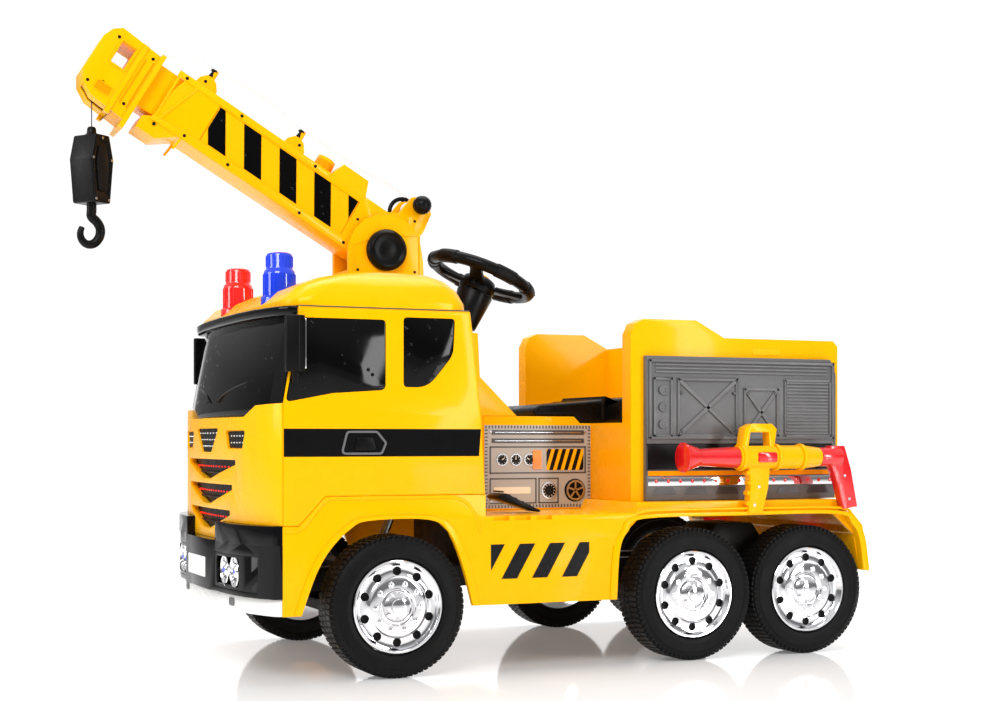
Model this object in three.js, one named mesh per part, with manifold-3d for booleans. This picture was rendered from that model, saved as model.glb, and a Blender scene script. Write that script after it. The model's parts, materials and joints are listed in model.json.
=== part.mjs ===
// Ride-on toy crane truck, as an assembly of separate named pieces.
// Millimetres, +Z up. Inside this file X is measured from the front axle, with the truck's nose
// towards -X, its left side towards -Y, and the ground at Z = 0. The exported group is moved so that
// its origin is the bottom centre of the whole truck.

import * as THREE from 'three';
import { mergeVertices } from 'three/addons/utils/BufferGeometryUtils.js';
import Module from 'manifold-3d';

const wasm = await Module();
wasm.setup();

// ---------------------------------------------------------------- driving dimensions

const GAP = 0.3;

const WHEEL_RADIUS = 115;
const TYRE_WIDTH = 70;
const RIM_RADIUS = 76;
const AXLE_RADIUS = 6;
const BORE_RADIUS = 6.3;
const TRACK_HALF = 268;
const FRONT_AXLE_X = 0;
const MID_AXLE_X = 544;
const REAR_AXLE_X = 778;

const SIDE = 303;
const TURNING_ROOM_X = [86, 150];
const WALL = 8;
const SKIRT_BOTTOM = 112;
const STEP_TOP = 257;
const SHOULDER_TOP = 275;
const CAB_FLOOR = 293;
const CAB_FRONT_X = -191;
const CAB_REAR_X = 151;
const ROOF_SEAM = 592;
const ROOF_TOP = 656;
const WAIST = 419.5;
const GLASS_TOP = 577;

const BUMPER_BOTTOM = 134;
const BUMPER_TOP = 218;
const PAD_TOP = 248;
const PAD_INNER = 102;

const COLUMN_TILT = THREE.MathUtils.degToRad(22);
const STEERING_CENTRE = new THREE.Vector3(270, 0, 682);
const STEERING_RADIUS = 105;
const RIM_TUBE = 13;
const STEERING_ARM = 40;
const KINGPIN_Y = 200;
const KINGPIN_RADIUS = 10;
const CRANK = 22;

const TURRET_X = 68;
const PIVOT_Z = 716;
const BOOM_ANGLE = THREE.MathUtils.degToRad(30.7);
const BOOM_HALF = 35;
const BOOM_BOTTOM = -36;
const BOOM_TOP = 64;
const BOOM_FRONT = 457;
const FILM_U = [80, 371];
const WINCH = [-14, 104];
const LINE_ROLLER = [551, -30];
const LINE_RADIUS = 12;

const LINE_X = -433;
const LINE_TOP_Z = 943;
const BLOCK_TOP_Z = 889;
const BLOCK_BOTTOM_Z = 775;
const BLOCK_TURN = THREE.MathUtils.degToRad(37);
const HOOK_TUBE = 5.5;

const BOX_FRONT_X = 453;
const BOX_REAR_X = 885;
const BOX_SIDE = 240;
const BOX_WALL = 33;
const SEAT_DECK = 413;
const PANEL_THICKNESS = 10;
const LEDGE_SIDE = 289.5;
const LEDGE_TOP = 253;

const BLASTER_Y = -300;
const BLASTER_Z = 352;

// ---------------------------------------------------------------- materials

const plastic = (color, roughness = 0.35) => new THREE.MeshStandardMaterial({ color, roughness, metalness: 0 });
const metal = (color, roughness) => new THREE.MeshStandardMaterial({ color, roughness, metalness: 1 });

const YELLOW = plastic(0xffc400, 0.3);
const BLACK = plastic(0x111112, 0.4);
const GREY = plastic(0x5b5b5e, 0.5);
const WHITE = plastic(0xf2f2f0, 0.35);
const RED = plastic(0xe01c20, 0.25);
const BLUE = plastic(0x1432dc, 0.2);
const RUBBER = plastic(0x151515, 0.8);
const CLEAR = plastic(0xdfe6f5, 0.1);
const CHROME = metal(0xd8d8da, 0.15);
const STEEL = metal(0x8c8f94, 0.4);
const LINE = plastic(0x333333, 0.6);

// ---------------------------------------------------------------- geometry helpers

function weld(geometry) {
  const bare = geometry.clone();
  bare.deleteAttribute('normal');
  bare.deleteAttribute('uv');
  return mergeVertices(bare, 1e-4);
}

function toSolid(shape) {
  if (!shape.isBufferGeometry) {
    return shape;
  }
  const welded = weld(shape);
  return new wasm.Manifold(new wasm.Mesh({
    numProp: 3,
    vertProperties: new Float32Array(welded.attributes.position.array),
    triVerts: new Uint32Array(welded.index.array),
  }));
}

function toGeometry(solid) {
  const mesh = solid.getMesh();
  const geometry = new THREE.BufferGeometry();
  geometry.setAttribute('position', new THREE.BufferAttribute(new Float32Array(mesh.vertProperties), 3));
  geometry.setIndex(new THREE.BufferAttribute(new Uint32Array(mesh.triVerts), 1));
  geometry.computeVertexNormals();
  return geometry;
}

const join = (...shapes) => shapes.map(toSolid).reduce((whole, next) => whole.add(next));
const cut = (shape, ...tools) => tools.map(toSolid).reduce((rest, tool) => rest.subtract(tool), toSolid(shape));

function piece(name, shape, material, parent) {
  const geometry = shape.isBufferGeometry ? weld(shape) : toGeometry(shape);
  geometry.computeVertexNormals();
  const mesh = new THREE.Mesh(geometry, material);
  mesh.name = name;
  parent.add(mesh);
  return mesh;
}

function box(x0, x1, y0, y1, z0, z1) {
  const geometry = new THREE.BoxGeometry(x1 - x0, y1 - y0, z1 - z0);
  return geometry.translate((x0 + x1) / 2, (y0 + y1) / 2, (z0 + z1) / 2);
}

function outlineShape(points, holes = []) {
  const corners = points.map(([a, b]) => new THREE.Vector2(a, b));
  if (THREE.ShapeUtils.isClockWise(corners)) {
    corners.reverse();
  }
  const shape = new THREE.Shape(corners);
  for (const hole of holes) {
    const path = new THREE.Path();
    path.absarc(hole.x, hole.y, hole.r, 0, Math.PI * 2, true);
    shape.holes.push(path);
  }
  return shape;
}

// An outline of [x, z] points, extruded from y0 to y1.
function slabY(points, y0, y1, holes = []) {
  const settings = { depth: y1 - y0, bevelEnabled: false, curveSegments: 8 };
  const geometry = new THREE.ExtrudeGeometry(outlineShape(points, holes), settings);
  return geometry.rotateX(Math.PI / 2).translate(0, y1, 0);
}

// An outline of [x, y] points, extruded from z0 to z1.
function slabZ(points, z0, z1) {
  const settings = { depth: z1 - z0, bevelEnabled: false };
  return new THREE.ExtrudeGeometry(outlineShape(points), settings).translate(0, 0, z0);
}

// An outline of [y, z] points, extruded from x0 to x1.
function slabX(points, x0, x1) {
  const settings = { depth: x1 - x0, bevelEnabled: false };
  const geometry = new THREE.ExtrudeGeometry(outlineShape(points), settings);
  return geometry.rotateX(Math.PI / 2).rotateZ(Math.PI / 2).translate(x0, 0, 0);
}

function rodY(radius, y0, y1, x = 0, z = 0, sides = 20) {
  return new THREE.CylinderGeometry(radius, radius, y1 - y0, sides).translate(x, (y0 + y1) / 2, z);
}

function rodZ(radius, z0, z1, x = 0, y = 0, sides = 20, topRadius = radius) {
  const geometry = new THREE.CylinderGeometry(topRadius, radius, z1 - z0, sides);
  return geometry.rotateX(Math.PI / 2).translate(x, y, (z0 + z1) / 2);
}

function rodX(radius, x0, x1, y = 0, z = 0, sides = 20, endRadius = radius) {
  const geometry = new THREE.CylinderGeometry(endRadius, radius, x1 - x0, sides);
  return geometry.rotateZ(-Math.PI / 2).translate((x0 + x1) / 2, y, z);
}

// A closed solid through rings of the same number of [x, y, z] points, each counter-clockwise from above.
function loft(rings) {
  const positions = rings.flat(2);
  const count = rings[0].length;
  const index = [];
  for (let level = 0; level < rings.length - 1; level += 1) {
    for (let i = 0; i < count; i += 1) {
      const j = (i + 1) % count;
      const low = level * count;
      const high = low + count;
      index.push(low + i, low + j, high + j, low + i, high + j, high + i);
    }
  }
  const outline = rings[0].map(([x, y]) => new THREE.Vector2(x, y));
  const top = (rings.length - 1) * count;
  for (const [a, b, c] of THREE.ShapeUtils.triangulateShape(outline, [])) {
    index.push(a, c, b, top + a, top + b, top + c);
  }
  const geometry = new THREE.BufferGeometry();
  geometry.setAttribute('position', new THREE.Float32BufferAttribute(positions, 3));
  geometry.setIndex(index);
  return geometry;
}

const mirrored = (halfCurve) => [
  ...halfCurve.map(([x, y]) => [x, y]).reverse(),
  ...halfCurve.filter(([, y]) => y > 0).map(([x, y]) => [x, -y]),
];

// A thin wall in plan: the outer curve, and the same curve set back by `depth`, both symmetric about y = 0.
function bandOutline(halfCurve, depth) {
  const outer = mirrored(halfCurve);
  const inner = outer.map(([x, y]) => [x + depth, y * (1 - depth / SIDE)]);
  const end = outer[0][0];
  return [...outer, ...inner.map(([x, y]) => [Math.min(x, end), y]).reverse()];
}

const atHeight = (outline, z, shift = 0) => outline.map(([x, y]) => [x + shift, y, z]);

// A rounded rectangle in plan, with its front edge bowed forwards, as one ring of a loft.
function roundedRing(z, front, rear, half, radius, bow) {
  const ring = [];
  const corners = [[rear, half, 0], [front, half, 1], [front, -half, 2], [rear, -half, 3]];
  for (const [x, y, quarter] of corners) {
    const cx = x - Math.sign(x - (front + rear) / 2) * radius;
    const cy = y - Math.sign(y) * radius;
    for (let step = 0; step <= 4; step += 1) {
      const angle = (quarter + step / 4) * Math.PI / 2;
      ring.push([cx + radius * Math.cos(angle), cy + radius * Math.sin(angle), z]);
    }
  }
  const middle = (front + rear) / 2;
  return ring.map(([x, y, height]) => {
    const share = Math.max(0, (middle - x) / (middle - front));
    return [x - bow * share * (1 - (y / half) ** 2), y, height];
  });
}

const truck = new THREE.Group();

// ---------------------------------------------------------------- steering line, used by what it passes through

const columnAxis = new THREE.Vector3(Math.sin(COLUMN_TILT), 0, Math.cos(COLUMN_TILT));

// A round bar along the steering axis, from `start` to `end` millimetres below the wheel's centre.
function columnRod(radius, start, end, topRadius = radius) {
  const geometry = new THREE.CylinderGeometry(topRadius, radius, end - start, 16);
  geometry.rotateX(Math.PI / 2).translate(0, 0, -(start + end) / 2);
  geometry.rotateY(COLUMN_TILT);
  return geometry.translate(STEERING_CENTRE.x, STEERING_CENTRE.y, STEERING_CENTRE.z);
}

const columnHole = columnRod(13, 60, 590);

// ---------------------------------------------------------------- chassis

function makeChassis() {
  const ear = 24;
  const rail = [
    [-183, 125], [MID_AXLE_X - ear - 16, 125], [MID_AXLE_X - ear, 98], [MID_AXLE_X + ear, 98],
    [MID_AXLE_X + ear + 16, 125], [REAR_AXLE_X - ear - 16, 125], [REAR_AXLE_X - ear, 98],
    [REAR_AXLE_X + ear, 98], [REAR_AXLE_X + ear + 16, 125], [870, 125], [870, 165], [-183, 165],
  ];
  const bores = [MID_AXLE_X, REAR_AXLE_X].map((x) => ({ x, y: WHEEL_RADIUS, r: BORE_RADIUS }));
  const parts = [slabY(rail, -90, -60, bores), slabY(rail, 60, 90, bores)];
  for (const x of [-183, 200, 330, 660, 850]) {
    parts.push(box(x, x + 20, -89, 89, 140, 165));
  }
  parts.push(box(-20, 20, -216, 216, 150.5, 170));
  parts.push(box(-20, 20, -216, 216, 76, 94.5));
  for (const side of [-1, 1]) {
    parts.push(box(-20, 20, Math.min(side * 130, side * 155), Math.max(side * 130, side * 155), 90, 155));
  }
  parts.push(box(205, 215, -180, 180, 160, 246.5));
  parts.push(box(335, 345, -180, 180, 160, 246.5));
  return join(...parts);
}

piece('chassis_frame', makeChassis(), BLACK, truck);

function makeDriveUnit() {
  const casing = [
    [610, 100], [690, 100], [740, 84], [812, 84], [812, 150], [760, 168], [716, 232], [640, 232], [610, 190],
  ];
  const body = slabY(casing, -215, -110);
  return cut(join(body, rodY(24, -112, -95, 660, 160)), rodY(8, -220, -90, REAR_AXLE_X, WHEEL_RADIUS));
}

piece('drive_unit', makeDriveUnit(), BLACK, truck);
piece('battery', box(275, 425, -49, 49, STEP_TOP + GAP, 352), GREY, truck);

// ---------------------------------------------------------------- yellow lower body

const FRONT_ARCH = [[-161, 107], [-136, 171], [-112, 211], [-79, 244], [-61, 255], [64, 255],
  [87, 233], [109, 180], [128, SKIRT_BOTTOM]];
const REAR_ARCH = [[392, SKIRT_BOTTOM], [396, 205], [444, 250], [838, 251], [885, 211], [896, 146]];

function makeTub() {
  const outline = [
    [CAB_FRONT_X, 107], ...FRONT_ARCH, ...REAR_ARCH, [910, 144], [895, 228], [863, 262], [850, SHOULDER_TOP],
    [438, SHOULDER_TOP], [430, STEP_TOP], [CAB_REAR_X, STEP_TOP], [CAB_REAR_X, CAB_FLOOR],
    [-122, CAB_FLOOR], [-165, 247], [CAB_FRONT_X, 247],
  ];
  const between = [[136, 100], [384, 100], [388, 208], [425, 247], [120, 247], [118, 185]];
  const overRearWheels = [[405, 206], [405, 225], [452, 267], [846, 267], [858, 256], [882, 226], [882, 206]];
  const nose = [[-184, 100], [-169, 100], [-144, 171], [-120, 216], [-96, 240], [-184, 240]];
  return cut(
    slabY(outline, -SIDE, SIDE),
    slabY(between, -SIDE + WALL, SIDE - WALL),
    slabY(nose, -SIDE + WALL, SIDE - WALL),
    box(-184, 400, -100, 100, 118, 172),
    box(-112, CAB_REAR_X - WALL, -SIDE + WALL, SIDE - WALL, 200, CAB_FLOOR - WALL),
    box(...TURNING_ROOM_X, -SIDE + WALL, SIDE - WALL, 100, 200),
    slabY(overRearWheels, -LEDGE_SIDE + WALL, LEDGE_SIDE - WALL),
    box(434, 920, -SIDE - 5, -LEDGE_SIDE, LEDGE_TOP, 290),
    box(434, 920, LEDGE_SIDE, SIDE + 5, LEDGE_TOP, 290),
    columnHole,
  );
}

piece('lower_body', makeTub(), YELLOW, truck);

// ---------------------------------------------------------------- cab

function makeCab() {
  const outline = [
    [CAB_FRONT_X, 247 + GAP], [-165, 247 + GAP], [-122, CAB_FLOOR + GAP], [CAB_REAR_X, CAB_FLOOR + GAP],
    [144, 416], [133, 519], [124, ROOF_SEAM], [-165, ROOF_SEAM], [CAB_FRONT_X, 440],
  ];
  const inside = [[-210, 230], [-160, 230], [-100, 270], [CAB_REAR_X - WALL, 270], [136, 416], [125, 519],
    [116, 600], [-210, 600]];
  return cut(slabY(outline, -SIDE, SIDE), slabY(inside, -SIDE + WALL, SIDE - WALL), columnHole);
}

piece('cab_shell', makeCab(), YELLOW, truck);

const FASCIA_CURVE = [[-240, 0], [-238, 80], [-233, 150], [-228, 200], [-216, 250], [-205, 280], [-196, 297],
  [CAB_FRONT_X - GAP, SIDE]];
const GLASS_CURVE = [[-229, 0], [-226, 100], [-219, 180], [-208, 245], [-197, 287], [CAB_FRONT_X - GAP, SIDE]];

const waistLine = (lift) => [[-SIDE - 5, 440 + lift], [-240, 437 + lift], [-202, WAIST + lift],
  [202, WAIST + lift], [240, 437 + lift], [SIDE + 5, 440 + lift]];

function grilleSlot(top, bottom, half) {
  const side = top - 8;
  return slabX([[-half, top], [-half, side], [-25, bottom], [25, bottom], [half, side], [half, top]],
    -260, -205);
}

// The room that a step pad on the bumper takes at one front corner.
function padRoom(side) {
  const near = Math.min(side * PAD_INNER, side * 320);
  return box(-260, -180, near, near + 320 - PAD_INNER, 200, PAD_TOP + GAP);
}

function makeFascia() {
  const band = bandOutline(FASCIA_CURVE, 12);
  const above = [...waistLine(0), [SIDE + 5, 500], [-SIDE - 5, 500]];
  return cut(
    loft([atHeight(band, BUMPER_TOP + GAP), atHeight(band, 445)]),
    slabX(above, -260, -180),
    padRoom(-1),
    padRoom(1),
    grilleSlot(350, 317, 165),
    grilleSlot(309, 275, 150),
    grilleSlot(267, 233, 138),
  );
}

piece('front_fascia', makeFascia(), YELLOW, truck);
const insertBand = bandOutline([[-227.2, 0], [-225, 80], [-219.8, 150], [-217.4, 172]], 6);
const insert = loft([atHeight(insertBand, 228), atHeight(insertBand, 405)]);
piece('grille_insert', cut(insert, padRoom(-1), padRoom(1)), BLACK, truck);

function makeWindscreen() {
  const band = bandOutline(GLASS_CURVE, 8);
  const below = [...waistLine(GAP), [SIDE + 5, 380], [-SIDE - 5, 380]];
  const rings = [atHeight(band, 410), atHeight(band, 440), atHeight(band, GLASS_TOP, 23.4)];
  return cut(loft(rings), slabX(below, -260, -150));
}

piece('windscreen', makeWindscreen(), BLACK, truck);

const VISOR_CURVE = [[-219, 0], [-216, 120], [-209, 200], [-196, 262], [-182, 296], [-168, SIDE + 4]];
const visorBand = bandOutline(VISOR_CURVE, 18);
piece('sun_visor', loft([atHeight(visorBand, GLASS_TOP + GAP), atHeight(visorBand, ROOF_SEAM - GAP, -2)]),
  BLACK, truck);

const ROOF_RINGS = [
  [ROOF_SEAM, -172, 124, SIDE, 34, 48],
  [604, -171, 123, SIDE, 34, 50],
  [625, -150, 112, 299, 36, 46],
  [642, -112, 96, 287, 40, 32],
  [ROOF_TOP - 4, -70, 78, 268, 44, 14],
  [ROOF_TOP, -40, 60, 240, 40, 4],
];

const roofOutside = (lift) => loft(ROOF_RINGS.map(([z, ...plan]) => roundedRing(z + lift, ...plan)));

function makeRoof() {
  const hollow = loft([
    roundedRing(580, -164, 116, SIDE - WALL, 30, 48),
    roundedRing(604, -163, 115, SIDE - WALL, 30, 50),
    roundedRing(634, -108, 90, 276, 34, 30),
    roundedRing(ROOF_TOP - 10, -50, 60, 236, 36, 6),
  ]);
  const pedestal = slabY([[-30, 645], [-12, 660], [146, 660], [146, 640], [124, 615], [100, 615], [80, 645]],
    -78, 78);
  const underSeam = box(-300, 300, -SIDE - 5, SIDE + 5, ROOF_SEAM - 40, ROOF_SEAM + GAP);
  return cut(join(roofOutside(0), pedestal), hollow, underSeam);
}

piece('roof', makeRoof(), YELLOW, truck);

function makeMirror() {
  const head = slabZ([[-190, 4], [-163, 7], [-160, 18], [-172, 23], [-190, 17]], 488, 576);
  const arm = box(-178, -168, 0, 10, 470, 500);
  return join(head, arm).translate([0, SIDE + GAP, 0]);
}

function flipY(solid) {
  return solid.mirror([0, 1, 0]);
}

piece('mirror_right', makeMirror(), BLACK, truck);
piece('mirror_left', flipY(makeMirror()), BLACK, truck);

// ---------------------------------------------------------------- bumper and lamps

const BUMPER_CURVE = [[-256, 0], [-256, 85], [-249, 104], [-246, 170], [-236, 230], [-220, 272], [-204, 298],
  [CAB_FRONT_X - GAP, SIDE]];
const bumperPlan = mirrored(BUMPER_CURVE);

const lampPocket = (side, inset) => {
  const near = side * (100 + inset);
  const far = side * (268 - inset);
  return box(-300, -208, Math.min(near, far), Math.max(near, far), 142 + inset, 199 - inset);
};

function makeBumper() {
  const pad = (side) => slabZ([[CAB_FRONT_X - GAP, side * 103], [-250, side * 103], [-249, side * 120],
    [-243, side * 200], [-226, side * 266], [-206, side * 300], [CAB_FRONT_X - GAP, side * (SIDE - 1)]],
  BUMPER_TOP - 1, PAD_TOP);
  const rightPad = pad(1);
  const leftPad = pad(-1);
  return cut(
    join(slabZ(bumperPlan, BUMPER_BOTTOM, BUMPER_TOP), rightPad, leftPad),
    lampPocket(-1, 0),
    lampPocket(1, 0),
  );
}

piece('bumper', makeBumper(), BLACK, truck);

const lampBody = (side) => toSolid(slabZ(bumperPlan, BUMPER_BOTTOM, BUMPER_TOP))
  .intersect(toSolid(lampPocket(side, GAP))).subtract(toSolid(box(-208.5, -190, -320, 320, 100, 240)));

piece('headlight_left', lampBody(-1), CLEAR, truck);
piece('headlight_right', lampBody(1), CLEAR, truck);

const VALANCE_CURVE = [[-240, 0], [-239, 90], [-235, 170], [-226, 230], [-212, 268], [-200, 292],
  [CAB_FRONT_X - GAP, SIDE - 3]];
piece('lower_valance', slabZ(bandOutline(VALANCE_CURVE, 14), 107, BUMPER_BOTTOM - GAP), WHITE, truck);

function makeBeacon() {
  return new THREE.LatheGeometry([
    new THREE.Vector2(0, 614), new THREE.Vector2(26.5, 614), new THREE.Vector2(26.5, 663),
    new THREE.Vector2(22, 667), new THREE.Vector2(22, 688), new THREE.Vector2(18, 692),
    new THREE.Vector2(0, 692),
  ], 20).rotateX(Math.PI / 2);
}

function placeBeacon(name, y, material) {
  const standing = toSolid(makeBeacon().translate(-150, y, 0));
  const seat = join(roofOutside(GAP), box(-200, 100, -200, 200, 560, ROOF_SEAM + 4));
  piece(name, standing.subtract(toSolid(seat)), material, truck);
}

placeBeacon('beacon_left', -137, BLUE);
placeBeacon('beacon_right', 137, RED);

for (const [name, side] of [['tail_lamp_left', -1], ['tail_lamp_right', 1]]) {
  const lamp = slabY([[862, 190], [876, 188], [879, 205], [864, 222], [850, 222]],
    Math.min(side * 120, side * 190), Math.max(side * 120, side * 190));
  piece(name, lamp, RED, truck);
}

// ---------------------------------------------------------------- wheels and axles

function makeTyre() {
  const half = TYRE_WIDTH / 2;
  const profile = [[RIM_RADIUS, -half + 1], [98, -half], [110, -half + 5], [WHEEL_RADIUS, -half + 15],
    [WHEEL_RADIUS, half - 15], [110, half - 5], [98, half], [RIM_RADIUS, half - 1], [RIM_RADIUS, -half + 1]];
  return new THREE.LatheGeometry(profile.map(([r, y]) => new THREE.Vector2(r, y)), 32);
}

function makeHub() {
  const rim = RIM_RADIUS - 0.8;
  const profile = [[0, -33], [25, -33], [29, -27], [66, -28], [rim - 4, -34], [rim, -34], [rim, 30], [66, 30],
    [62, -14], [18, -14], [18, 30], [BORE_RADIUS, 30], [BORE_RADIUS, -22], [0, -22]];
  return new THREE.LatheGeometry(profile.map(([r, y]) => new THREE.Vector2(r, y)), 24);
}

function makeWheel(label, x, side) {
  const turned = side > 0 ? Math.PI : 0;
  for (const [part, geometry, material] of [['tyre', makeTyre(), RUBBER], ['hub', makeHub(), CHROME]]) {
    const mesh = piece(`${part}_${label}`, geometry, material, truck);
    mesh.position.set(x, side * TRACK_HALF, WHEEL_RADIUS);
    mesh.rotation.z = turned;
  }
}

for (const [row, x] of [['front', FRONT_AXLE_X], ['mid', MID_AXLE_X], ['rear', REAR_AXLE_X]]) {
  makeWheel(`${row}_left`, x, -1);
  makeWheel(`${row}_right`, x, 1);
}

for (const [name, x] of [['mid_axle', MID_AXLE_X], ['rear_axle', REAR_AXLE_X]]) {
  piece(name, rodY(AXLE_RADIUS, -TRACK_HALF - 12, TRACK_HALF + 12, x, WHEEL_RADIUS, 16), STEEL, truck);
}

// ---------------------------------------------------------------- steering

function makeKnuckle(side) {
  const stub = rodY(AXLE_RADIUS, Math.min(side * KINGPIN_Y, side * (TRACK_HALF + 12)),
    Math.max(side * KINGPIN_Y, side * (TRACK_HALF + 12)), 0, WHEEL_RADIUS, 16);
  const post = rodZ(KINGPIN_RADIUS, 95, 150, 0, side * KINGPIN_Y);
  const arm = box(0, STEERING_ARM + 11, side * KINGPIN_Y - 10, side * KINGPIN_Y + 10, 110, 120);
  const eye = rodZ(6.5, 100, 130, STEERING_ARM, side * KINGPIN_Y, 16);
  return cut(join(post, arm, stub), eye);
}

piece('knuckle_left', makeKnuckle(-1), STEEL, truck);
piece('knuckle_right', makeKnuckle(1), STEEL, truck);

function makeTieRod() {
  const parts = [box(STEERING_ARM - 6, STEERING_ARM + 6, -KINGPIN_Y - 7, KINGPIN_Y + 7, 98, 106),
    box(STEERING_ARM - 6, 80, -12, 12, 98, 104)];
  for (const side of [-1, 1]) {
    parts.push(rodZ(4, 105, 118, STEERING_ARM, side * KINGPIN_Y, 12));
    parts.push(box(52, 78, side > 0 ? 7 : -11, side > 0 ? 11 : -7, 100, 118));
  }
  return join(...parts);
}

piece('tie_rod', makeTieRod(), STEEL, truck);

function makeSteeringShaft() {
  const end = 590;
  const crank = new THREE.BoxGeometry(CRANK + 12, 14, 8).translate(CRANK / 2, 0, -end + 2);
  const pin = rodZ(4, -end - 10, -end, CRANK, 0, 12);
  const lower = join(crank, pin);
  const turned = toGeometry(lower).rotateY(COLUMN_TILT);
  turned.translate(STEERING_CENTRE.x, STEERING_CENTRE.y, STEERING_CENTRE.z);
  return join(columnRod(8, 30, end), turned);
}

piece('steering_shaft', makeSteeringShaft(), STEEL, truck);

function makeSteeringWheel() {
  const ring = new THREE.TorusGeometry(STEERING_RADIUS - RIM_TUBE, RIM_TUBE, 8, 32);
  const hub = join(rodZ(30, -22, 4), rodZ(22, -29.5, -20));
  const spokes = [0, 1, 2].map((turn) => {
    const spoke = box(20, STEERING_RADIUS - RIM_TUBE, -9, 9, -10, 2);
    return spoke.rotateZ(Math.PI + turn * Math.PI * 2 / 3);
  });
  return join(ring, hub, ...spokes);
}

const steeringWheel = piece('steering_wheel', makeSteeringWheel(), BLACK, truck);
steeringWheel.position.copy(STEERING_CENTRE);
steeringWheel.rotation.y = COLUMN_TILT;

const columnCover = columnRod(24, 33, 100, 34);
piece('column_cover', cut(columnCover, columnRod(9, 10, 130)), BLACK, truck);

// ---------------------------------------------------------------- console, seat and pedal

function makeConsole() {
  const outline = [[CAB_REAR_X + GAP, CAB_FLOOR + 2], [CAB_REAR_X + GAP, STEP_TOP + GAP], [237.5, STEP_TOP + GAP], [237.5, 425.3], [304, 425.3],
    [232, 495], [228, 572], [152, 582], [134, 582], [134, 525], [145, 430]];
  const inside = [[158, 250], [230, 250], [230, 430], [270, 430], [224, 488], [220, 565], [160, 573],
    [144, 573], [144, 530], [153, 430]];
  return cut(slabY(outline, -86, 86), slabY(inside, -79, 79), columnHole);
}

piece('console', makeConsole(), YELLOW, truck);

function makeSeatBox() {
  const outline = [[238, STEP_TOP + GAP], [429, STEP_TOP + GAP], [437, SHOULDER_TOP + 2 * GAP],
    [BOX_FRONT_X - GAP, SHOULDER_TOP + 2 * GAP], [BOX_FRONT_X - GAP, SEAT_DECK],
    [430, SEAT_DECK], [418, 425], [238, 425]];
  const inside = [[245, 250], [420, 250], [440, 270], [446, 270], [446, 406], [426, 406], [414, 418], [245, 418]];
  return cut(slabY(outline, -86, 86), slabY(inside, -79, 79));
}

piece('seat_box', makeSeatBox(), YELLOW, truck);

function makeSeat() {
  const outline = [[338, 425.6], [418.5, 425.6], [431, SEAT_DECK + 0.6], [636, SEAT_DECK + 0.6], [636, 466],
    [560, 464], [430, 452], [352, 446], [338, 438]];
  const front = slabY(outline, -84, 84);
  const rear = slabY([[480, SEAT_DECK + 0.6], [636, SEAT_DECK + 0.6], [636, 466], [560, 464], [480, 457]],
    -150, 150);
  return join(front, rear);
}

piece('seat', makeSeat(), BLACK, truck);

function makePedal() {
  const outline = [[284, STEP_TOP + 1.5], [288, STEP_TOP + 4], [222, 292], [209, 288], [209, 282]];
  return slabY(outline, -224, -172);
}

piece('pedal', makePedal(), BLACK, truck);

// ---------------------------------------------------------------- rear box and its side panels

function makeRearBox() {
  const outline = [[BOX_FRONT_X, SHOULDER_TOP + GAP], [BOX_REAR_X, SHOULDER_TOP + GAP], [BOX_REAR_X, 555],
    [875, 565], [642, 565], [584, 595], [480, 595], [462, 587], [BOX_FRONT_X, 568]];
  const well = slabY([[440, SEAT_DECK], [636.6, SEAT_DECK], [636.6, 620], [440, 620]],
    -BOX_SIDE + BOX_WALL, BOX_SIDE - BOX_WALL);
  const underSeat = box(461, 640, -BOX_SIDE + BOX_WALL, BOX_SIDE - BOX_WALL, 260, SEAT_DECK - 8);
  const tail = box(639, BOX_REAR_X - 8, -BOX_SIDE + 8, BOX_SIDE - 8, 260, 557);
  const back = box(636, 646, -BOX_SIDE + BOX_WALL - 1, BOX_SIDE - BOX_WALL + 1, SEAT_DECK - 8, 560);
  const wallHollows = [-1, 1].flatMap((side) => {
    const near = side > 0 ? 215 : -232;
    return [box(470, 585, near, near + 17, 260, 585), box(584, 632, near, near + 17, 260, 560)];
  });
  return cut(slabY(outline, -BOX_SIDE, BOX_SIDE), well, underSeat, cut(tail, back), ...wallHollows);
}

piece('rear_box', makeRearBox(), YELLOW, truck);

function panelFace(y0, y1) {
  const outline = [[477, SHOULDER_TOP + GAP + 1], [871, SHOULDER_TOP + GAP + 1], [874, 300], [874, 503],
    [862, 530], [477, 530]];
  return slabY(outline, y0, y1);
}

const panelBack = BOX_SIDE + GAP;
const panelFront = panelBack + PANEL_THICKNESS;

piece('side_panel_left', cut(panelFace(-panelFront, -panelBack), box(478, 866, -panelFront - 1,
  -panelFront + 5, 329, 376)), GREY, truck);
piece('side_panel_right', cut(panelFace(panelBack, panelFront), box(478, 866, panelFront - 5,
  panelFront + 1, 329, 376)), GREY, truck);

// ---------------------------------------------------------------- toy water blaster on the left panel

function makeBlasterBody() {
  const housing = rodX(21, 630, 770, BLASTER_Y, BLASTER_Z, 16);
  const tail = rodX(21, 769, 800, BLASTER_Y, BLASTER_Z, 16, 17);
  const handle = slabY([[634, 362], [642, 404], [656, 411], [696, 411], [706, 402], [700, 362]],
    BLASTER_Y - 11, BLASTER_Y + 11);
  const window = slabY([[648, 372], [652, 396], [690, 396], [692, 372]], BLASTER_Y - 20, BLASTER_Y + 20);
  const grip = slabY([[650, 345], [694, 345], [690, 300], [678, 254], [650, 254], [654, 300]],
    BLASTER_Y - 9, BLASTER_Y + 9);
  return cut(join(housing, tail, handle, grip), window, rodX(9, 700, 830, BLASTER_Y, BLASTER_Z, 12));
}

piece('blaster_body', makeBlasterBody(), YELLOW, truck);

function makeBlasterBarrel() {
  const barrel = rodX(15, 550, 630 - GAP, BLASTER_Y, BLASTER_Z, 16, 19);
  const funnel = rodX(26, 521, 552, BLASTER_Y, BLASTER_Z, 16, 17);
  return join(barrel, funnel);
}

piece('blaster_barrel', makeBlasterBarrel(), RED, truck);

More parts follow.
